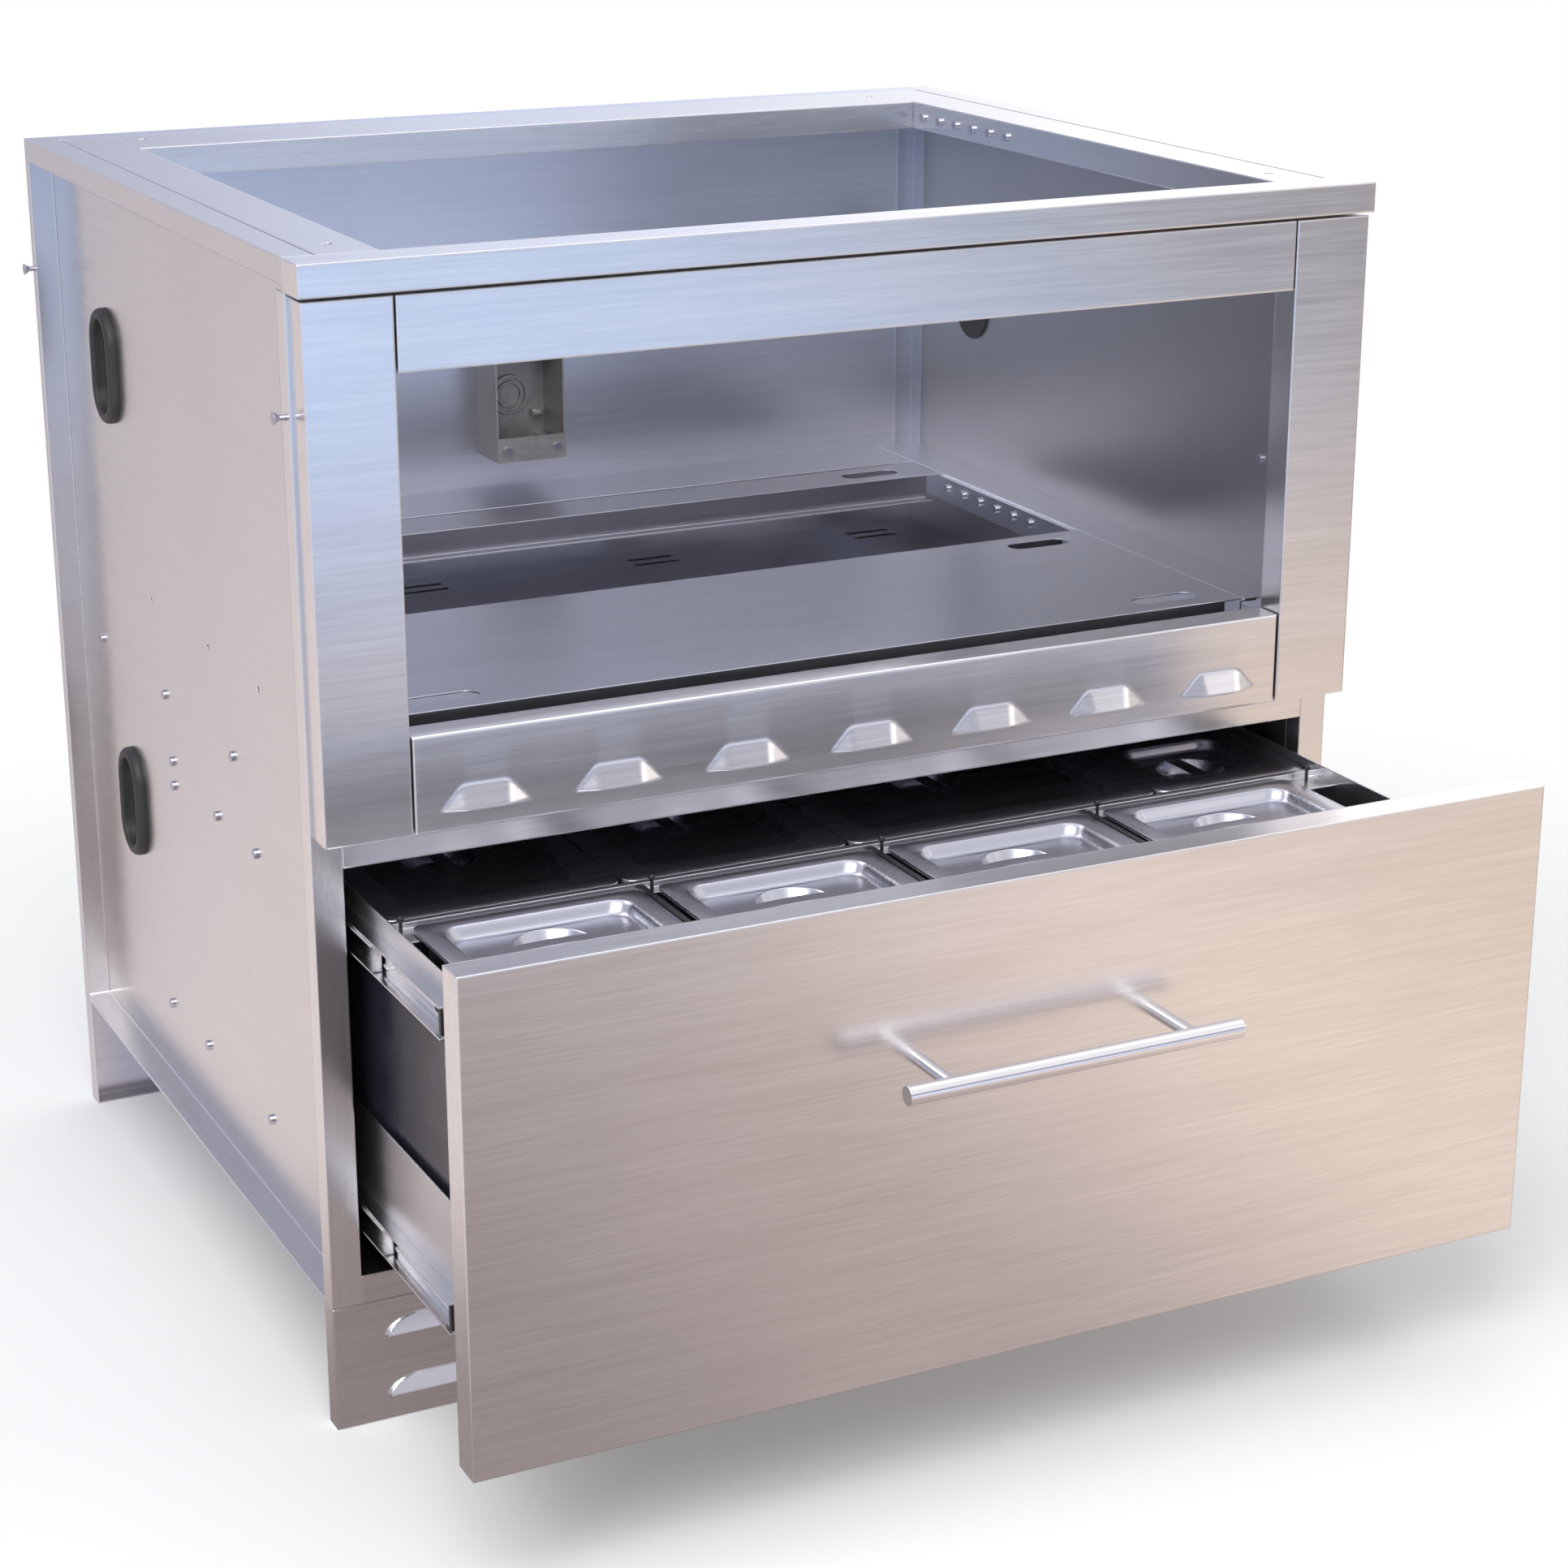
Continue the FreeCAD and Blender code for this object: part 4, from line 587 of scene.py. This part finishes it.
def grommets_mesh(name):
    """Four moulded grommets: rolled collar outside, neck through the sheet, heel inside, closed web."""
    low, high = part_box("side_grommets")
    sheet_face = high.x - GROMMET_STAND * MM
    y = (low.y + high.y) / 2
    bm = bmesh.new()
    for side in (-1, 1):
        for z in (low.z + GROMMET_HALF_TALL * MM, high.z - GROMMET_HALF_TALL * MM):
            rings = []
            for wide, out in GROMMET:
                shape = obround(wide * MM, (wide + GROMMET_RISE) * MM, GROMMET_POINTS)
                rings.append([(side * (sheet_face + out * MM), y + py, z + pz) for py, pz in shape])
            loft(bm, rings)
    return finish_mesh(bm, name)


mesh = grommets_mesh("side_grommets_moulded")
grommets = new_piece("side_grommets_moulded", mesh, "carcass", rubber)
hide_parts("side_grommets")

# Knock-out rings as (outer, inner) radius and a cable clamp, on the back wall of the junction box, in mm.
# Places are shares of the box's width and height.
BOX_WALL = 1.3
RINGS = [(18.5, 15.0), (12.5, 10.0)]
RING_RISE = 3.0
RING_BEVEL = 0.5
RING_POINTS = 48
RINGS_ACROSS = 0.40
RINGS_UP = 0.47
RINGS_ASIDE = 4.0
CLAMP = {"half_x": 5.0, "half_z": 3.2, "rise": 9.0, "bevel": 1.0, "points": 24}
CLAMP_FROM_SIDE = 11.0
CLAMP_UP = 0.31


def fittings_mesh(name):
    """Closed rings and one bevelled block that stand on the back wall of the junction box."""
    low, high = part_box("junction_box")
    back = high.y - BOX_WALL * MM
    middle_x = low.x + RINGS_ACROSS * (high.x - low.x) + RINGS_ASIDE * MM
    middle_z = low.z + RINGS_UP * (high.z - low.z)
    turns = [2 * math.pi * step / RING_POINTS for step in range(RING_POINTS)]

    def ring(radius, out):
        reach = radius * MM
        y = back - out * MM
        return [(middle_x + reach * math.cos(a), y, middle_z + reach * math.sin(a)) for a in turns]

    bm = bmesh.new()
    for outer, inner in RINGS:
        rings = [ring(outer, 0.0), ring(outer - RING_BEVEL, RING_RISE)]
        rings += [ring(inner + RING_BEVEL, RING_RISE), ring(inner, 0.0)]
        loft(bm, rings + rings[:1], False)
    clamp_x = high.x - CLAMP_FROM_SIDE * MM
    clamp_z = low.z + CLAMP_UP * (high.z - low.z)
    bevel = CLAMP["bevel"]
    rings = []
    for out, grow in ((0.0, 0.0), (CLAMP["rise"] - bevel, 0.0), (CLAMP["rise"], -bevel)):
        half_x = (CLAMP["half_x"] + grow) * MM
        half_z = (CLAMP["half_z"] + grow) * MM
        outline = round_rect(half_x, half_z, bevel * MM, CLAMP["points"])
        rings.append([(clamp_x + x, back - out * MM, clamp_z + z) for x, z in outline])
    loft(bm, rings)
    return finish_mesh(bm, name)


new_piece("junction_box_fittings", fittings_mesh("junction_box_fittings"), "carcass", zinc_grey)

# Drawer members of the slides: upper half of a channel section with a pressed rib,
# as (out from the drawer box, height over the middle), in mm
SLIDE_HALF = [
    (0.0, 12.0), (10.0, 12.0), (10.0, 10.8), (1.2, 10.8), (1.2, 7.4), (2.1, 6.6), (2.1, 4.6), (1.2, 3.8),
]
SLIDE_REACH = 10.0
SLIDE_HALF_TALL = 12.0
SLIDE_SMOOTH_BELOW = 25.0
SLOT = {"from_front": 26.0, "half_long": 5.5, "half_tall": 2.4, "foot": 0.8, "top": 1.3, "points": 32}
SLOT_MATERIAL = 1


def slide_members_mesh(name):
    """Four ribbed channels, each with a slot near its front end shown as a dark insert of painted shade."""
    low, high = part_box("slide_drawer_members")
    section = SLIDE_HALF + [(out, -height) for out, height in SLIDE_HALF[::-1]]
    slot = obround(SLOT["half_tall"] * MM, SLOT["half_long"] * MM, SLOT["points"])
    slot_y = low.y + SLOT["from_front"] * MM
    root = high.x - SLIDE_REACH * MM
    bm = bmesh.new()
    for side in (-1, 1):
        for middle in (low.z + SLIDE_HALF_TALL * MM, high.z - SLIDE_HALF_TALL * MM):
            rings = []
            for y in (low.y, high.y):
                rings.append([(side * (root + out * MM), y, middle + height * MM) for out, height in section])
            loft(bm, rings)
            rings = []
            for out in (SLOT["foot"], SLOT["top"]):
                x = side * (root + out * MM)
                rings.append([(x, slot_y + along_y, middle + up) for up, along_y in slot])
            before = len(bm.faces)
            loft(bm, rings)
            bm.faces.ensure_lookup_table()
            for index in range(before, len(bm.faces)):
                bm.faces[index].material_index = SLOT_MATERIAL
    return finish_mesh(bm, name, SLIDE_SMOOTH_BELOW)


mesh = slide_members_mesh("slide_drawer_members_ribbed")
slides = new_piece("slide_drawer_members_ribbed", mesh, "drawer", slide_zinc)
# The slots take the dark material, a painted shade in place of open holes.
slides.data.materials.append(painted_hole_shade)
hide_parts("slide_drawer_members")

# Pressings in mm. Louver: half width at its foot, of its crown and of its lip, rise up the panel, height out.
# Hood: half width, rise, length of the round end, height out, slope of the end wall.
# Both: rounding of the folds, rounding at the foot, and the roll of the lower lip with its depth.
LOUVER = {
    "half": 34.5, "crown": 18.0, "lip": 16.0, "rise": 18.0, "out": 6.8,
    "fold": 1.4, "foot": 0.8, "roll": 1.4, "roll_deep": 0.9,
}
HOOD = {
    "half": 71.5, "rise": 16.0, "end": 34.0, "out": 4.3, "wall": 8.0,
    "fold": 0.6, "foot": 0.4, "roll": 1.0, "roll_deep": 0.5,
}


def soft_min(one, two, blend):
    """Lower of two heights with a rounded fold where they meet."""
    near = max(blend - abs(one - two), 0.0) / blend
    return min(one, two) - near * near * blend / 4


def soft_max(one, two, blend):
    """Higher of two heights with a rounded fold where they meet."""
    return -soft_min(-one, -two, blend)


def pressed(form, side_wall, z):
    """Height of a pressing with a sloping face, the given height of its side wall and a rolled lower lip."""
    face = form["out"] * (1.0 - z / form["rise"])
    height = soft_max(soft_min(face, side_wall, form["fold"]), 0.0, form["foot"])
    roll = max(0.0, 1.0 - z / form["roll"])
    return max(0.0, height - form["roll_deep"] * roll * roll)


def louver_height(x, z):
    """Height in mm of a three-sided pressed louver over the panel, from its foot's middle."""
    if z < 0.0:
        return 0.0
    slope = LOUVER["out"] / (LOUVER["half"] - LOUVER["lip"])
    lean = slope * (LOUVER["half"] - LOUVER["crown"]) / LOUVER["rise"]
    return pressed(LOUVER, slope * (LOUVER["half"] - abs(x)) - lean * z, z)


def hood_height(x, z):
    """Height in mm of a long pressed hood: one sloping face, closed by a steep wall round each end."""
    if z < 0.0:
        return 0.0
    beyond = max(abs(x) - HOOD["half"] + HOOD["end"], 0.0) * HOOD["rise"] / HOOD["end"]
    away = math.hypot(beyond, z) / HOOD["rise"]
    return pressed(HOOD, HOOD["wall"] * HOOD["rise"] * (1.0 - away), z)


def lines(start, stop, step):
    """Even grid lines from start to stop."""
    count = max(1, int(round((stop - start) / step)))
    return [start + (stop - start) * i / count for i in range(count + 1)]


# Folded panels: radius of the hem and the places of its grid lines, in mm, and the sheet's gauge.
# The grid line just under each foot makes the lower lip sharp.
HEM = 1.6
HEM_STEPS = (0.0, 0.1, 0.35, 0.75, 1.2, 1.6, 1.8)
GAUGE = 1.2 * MM
LIP_STEP = 0.02 * MM


def pressed_panel(name, low, high, face_y, xs, zs, height):
    """Folded panel whose front skin follows a height over a grid; sides turn back and the inside is open."""
    def skin(x, z):
        border = min(x - low.x, high.x - x, z - low.z, high.z - z) / MM
        into = max(HEM - border, 0.0)
        return height(x, z) - HEM + math.sqrt(max(HEM * HEM - into * into, 0.0))

    def with_hems(places, start, stop):
        hems = [start + step * MM for step in HEM_STEPS]
        hems += [stop - step * MM for step in HEM_STEPS]
        return sorted(places + hems)

    bm = bmesh.new()
    xs = with_hems(xs, low.x, high.x)
    zs = with_hems(zs, low.z, high.z)
    grid = [[bm.verts.new((x, face_y - skin(x, z) * MM, z)) for z in zs] for x in xs]
    for i in range(len(xs) - 1):
        for j in range(len(zs) - 1):
            bm.faces.new((grid[i][j], grid[i + 1][j], grid[i + 1][j + 1], grid[i][j + 1]))
    sides = [[column[0] for column in grid], grid[-1], [column[-1] for column in grid][::-1], grid[0][::-1]]
    in_x = (low.x + GAUGE, high.x - GAUGE)
    in_z = (low.z + GAUGE, high.z - GAUGE)
    inner = [(in_x[0], in_z[0]), (in_x[1], in_z[0]), (in_x[1], in_z[1]), (in_x[0], in_z[1])]
    foot = [bm.verts.new((x, high.y, z)) for x, z in inner]
    deep = [bm.verts.new((x, face_y + GAUGE, z)) for x, z in inner]
    bm.faces.new(deep)
    for k, edge in enumerate(sides):
        back = [bm.verts.new((v.co.x, high.y, v.co.z)) for v in edge]
        for one, two, three, four in zip(edge, edge[1:], back[1:], back):
            bm.faces.new((one, four, three, two))
        m = (k + 1) % 4
        bm.faces.new(back + [foot[m], foot[k]])
        bm.faces.new((foot[k], foot[m], deep[m], deep[k]))
    return finish_mesh(bm, name)


def repeated(height, middles, feet):
    """One height over the panel from the same pressing at every middle and foot, in metres."""
    def over(x, z):
        best = 0.0
        for middle in middles:
            for foot in feet:
                best = max(best, height((x - middle) / MM, (z - foot) / MM))
        return best
    return over


# Panels with pressings, in mm: pitch, number to each side of the middle one, heights of the feet over
# the panel's lower edge, and grid lines round each pressing as (start, stop, step)
VENT = {
    "pitch": 103.0, "each_side": 3, "feet": (14.5,),
    "across": ((-36.0, 36.0, 1.2),), "up": ((0.0, 1.6, 0.4), (2.4, 20.0, 0.8)),
}
TOE = {
    "pitch": 160.0, "each_side": 2, "feet": (19.0, 69.0),
    "across": ((-78.0, -34.0, 0.8), (-26.0, 26.0, 6.5), (34.0, 78.0, 0.8)),
    "up": ((0.0, 1.2, 0.4), (2.0, 18.0, 0.5)),
}


def add_pressed_panel(node, face_node, height, plan, material):
    """Replaces a panel by one with pressings, its face level with another node's front."""
    low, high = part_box(node)
    face_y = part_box(face_node)[0].y
    middles = [step * plan["pitch"] * MM for step in range(-plan["each_side"], plan["each_side"] + 1)]
    feet = [low.z + foot * MM for foot in plan["feet"]]
    xs = [middle + x * MM for middle in middles for row in plan["across"] for x in lines(*row)]
    zs = [foot - LIP_STEP for foot in feet]
    zs += [foot + z * MM for foot in feet for row in plan["up"] for z in lines(*row)]
    mesh = pressed_panel(node + "_pressed", low, high, face_y, xs, zs, repeated(height, middles, feet))
    panel = new_piece(node + "_pressed", mesh, "carcass", material)
    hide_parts(node)


add_pressed_panel("vent_panel", "stile_left", louver_height, VENT, face_x)
add_pressed_panel("toe_kick_front", "front_post_left", hood_height, TOE, sheet_x)

# Floor: white to the camera with the object's shadow, and a tinted studio floor in the metal
FLOOR_REACH = 40.0
FLOOR_DROP = 0.0003
FLOOR_PAINT = (0.80, 0.80, 0.80)
FLOOR_LIFT = 0.14
WHITE = (1.0, 1.0, 1.0)
SHADOW_MIDDLE = (0.0, 0.1, 0.0)
SHADOW_FADE = (0.7, 1.7)

# Tints in the metal as (x, colour) stops for strips of the floor in front, from near to far, in metres.
# Behind, the floor changes tint across a slanting line.
NEAR_TINT = [
    (-0.95, (1.05, 1.02, 1.10)), (-0.60, (0.43, 0.37, 0.36)), (-0.30, (0.43, 0.37, 0.36)),
    (0.05, (0.60, 0.51, 0.49)), (0.65, (1.15, 0.97, 0.85)), (1.20, (1.06, 0.88, 0.74)),
    (1.50, (1.16, 0.98, 0.86)), (2.10, (0.76, 0.63, 0.56)),
]
MID_TINT = [(0.30, (0.55, 0.57, 0.71)), (1.1, (0.80, 0.88, 1.10)), (1.75, (0.78, 0.66, 0.59))]
FAR_TINT = [
    (2.42, (0.94, 1.23, 1.74)), (2.78, (0.27, 0.25, 0.255)), (3.4, (0.30, 0.28, 0.28)),
    (4.2, (0.43, 0.41, 0.42)),
]
BACK_TINT = [(-0.29, (1.03, 0.925, 0.915)), (-0.21, (0.58, 0.60, 0.76))]
BACK_SLANT = (1.0, 0.262, 0.0)
NEAR_TO_BACK = (0.0, 0.5)
NEAR_TO_MID = (-1.6, -2.1)
MID_TO_FAR = (-2.3, -3.3)
SHEEN = 0.82
SHEEN_PAINT_SHARE = 0.16

EMISSION = "ShaderNodeEmission"
corners = [(x * FLOOR_REACH, y * FLOOR_REACH, 0) for x, y in ((-1, -1), (1, -1), (1, 1), (-1, 1))]
floor_mesh = bpy.data.meshes.new("studio_floor")
floor_mesh.from_pydata(corners, [], [(0, 1, 2, 3)])
floor = bpy.data.objects.new("studio_floor", floor_mesh)
floor.location.z = -FLOOR_DROP
scene.collection.objects.link(floor)
floor_look = bpy.data.materials.new("studio_floor")
floor_look.use_nodes = True
floor_look.node_tree.nodes.clear()
g = Graph(floor_look.node_tree)
place = g.add("ShaderNodeTexCoord").outputs["Object"]
place_x = g.part(place, "X")
place_y = g.part(place, "Y")

paint = g.diffuse(FLOOR_PAINT)
outside = g.fade(g.vector_math("DISTANCE", place, SHADOW_MIDDLE), *SHADOW_FADE)
near_floor = g.total(paint, g.glow(EMISSION, WHITE, FLOOR_LIFT))
seen = g.blend(outside, near_floor, g.glow(EMISSION, WHITE, 1.0))

back_tint = g.stops(g.vector_math("DOT_PRODUCT", place, BACK_SLANT), BACK_TINT)
tint = g.mix(g.fade(place_y, *NEAR_TO_BACK), g.stops(place_x, NEAR_TINT), back_tint)
tint = g.mix(g.fade(place_y, *NEAR_TO_MID), tint, g.stops(place_x, MID_TINT))
tint = g.mix(g.fade(place_y, *MID_TO_FAR), tint, g.stops(place_x, FAR_TINT))
in_metal = g.blend(SHEEN_PAINT_SHARE, g.glow(EMISSION, tint, SHEEN), g.diffuse(tint))

path = g.add("ShaderNodeLightPath")
shown = g.blend(path.outputs["Is Glossy Ray"], paint, in_metal)
shown = g.blend(path.outputs["Is Camera Ray"], shown, seen)
g.join(shown, g.add("ShaderNodeOutputMaterial").inputs["Surface"])
floor_mesh.materials.append(floor_look)

# World: white behind the object, tinted soft sky in the metal, plain fill on the rest.
# The sky has (heading to the right, colour) stops behind and in front, a paler top and one bright low band.
BACK_SKY = [(0.22, (0.52, 0.55, 0.68)), (0.36, (0.80, 0.86, 1.05)), (0.56, (1.35, 1.35, 1.35))]
FRONT_SKY = [(0.10, (0.40, 0.42, 0.53)), (0.50, (0.43, 0.44, 0.54)), (0.90, (0.72, 0.69, 0.70))]
FRONT_TOP = (1.0, 1.0, 1.04)
FRONT_TOP_FADE = (0.38, 0.52)
LOW_BAND = (1.25, 1.30, 1.55)
LOW_BAND_HEIGHT = (0.16, 0.09)
LOW_BAND_LEFT = (0.02, 0.16)
LOW_BAND_RIGHT = (0.62, 0.48)
BACK_TO_FRONT = (0.0, -0.35)
FILL = (0.95, 0.97, 1.0)
FILL_STRENGTH = 0.5

BACKGROUND = "ShaderNodeBackground"
world = bpy.data.worlds.new("studio")
scene.world = world
world.use_nodes = True
world.node_tree.nodes.clear()
w = Graph(world.node_tree)
heading = w.add("ShaderNodeTexCoord").outputs["Generated"]
head_x = w.part(heading, "X")
head_y = w.part(heading, "Y")
head_z = w.part(heading, "Z")
front_sky = w.mix(w.fade(head_z, *FRONT_TOP_FADE), w.stops(head_x, FRONT_SKY), FRONT_TOP)
low_band = w.math("MULTIPLY", w.fade(head_z, *LOW_BAND_HEIGHT), w.fade(head_x, *LOW_BAND_RIGHT))
low_band = w.math("MULTIPLY", low_band, w.fade(head_x, *LOW_BAND_LEFT))
front_sky = w.mix(low_band, front_sky, LOW_BAND)
sky = w.mix(w.fade(head_y, *BACK_TO_FRONT), w.stops(head_x, BACK_SKY), front_sky)

path = w.add("ShaderNodeLightPath")
fill = w.glow(BACKGROUND, FILL, FILL_STRENGTH)
shown = w.blend(path.outputs["Is Glossy Ray"], fill, w.glow(BACKGROUND, sky, 1.0))
seen_ray = w.math("MAXIMUM", path.outputs["Is Camera Ray"], path.outputs["Is Transmission Ray"])
shown = w.blend(seen_ray, shown, w.glow(BACKGROUND, WHITE, 1.0))
w.join(shown, w.add("ShaderNodeOutputWorld").inputs["Surface"])

# Soft square lamps as name, place, aim, width in metres, power in watts and colour
LAMPS = (
    ("key", (-1.4, -1.7, 2.6), (0.0, -0.1, 0.2), 2.0, 72.0, (0.98, 0.99, 1.0)),
    ("overhead", (0.3, 0.6, 3.2), (0.1, 0.1, 0.3), 2.4, 26.0, (0.97, 0.98, 1.0)),
    ("front_right", (2.8, -2.4, 1.6), (0.2, -0.2, 0.4), 1.6, 8.0, (1.0, 0.96, 0.92)),
)
for name, lamp_at, aim, width, power, colour in LAMPS:
    data = bpy.data.lights.new(name, "AREA")
    data.shape = "SQUARE"
    data.size = width
    data.energy = power
    data.color = colour
    lamp = bpy.data.objects.new(name, data)
    lamp.location = lamp_at
    lamp.rotation_mode = "QUATERNION"
    lamp.rotation_quaternion = (Vector(aim) - Vector(lamp_at)).to_track_quat("-Z", "Y")
    scene.collection.objects.link(lamp)
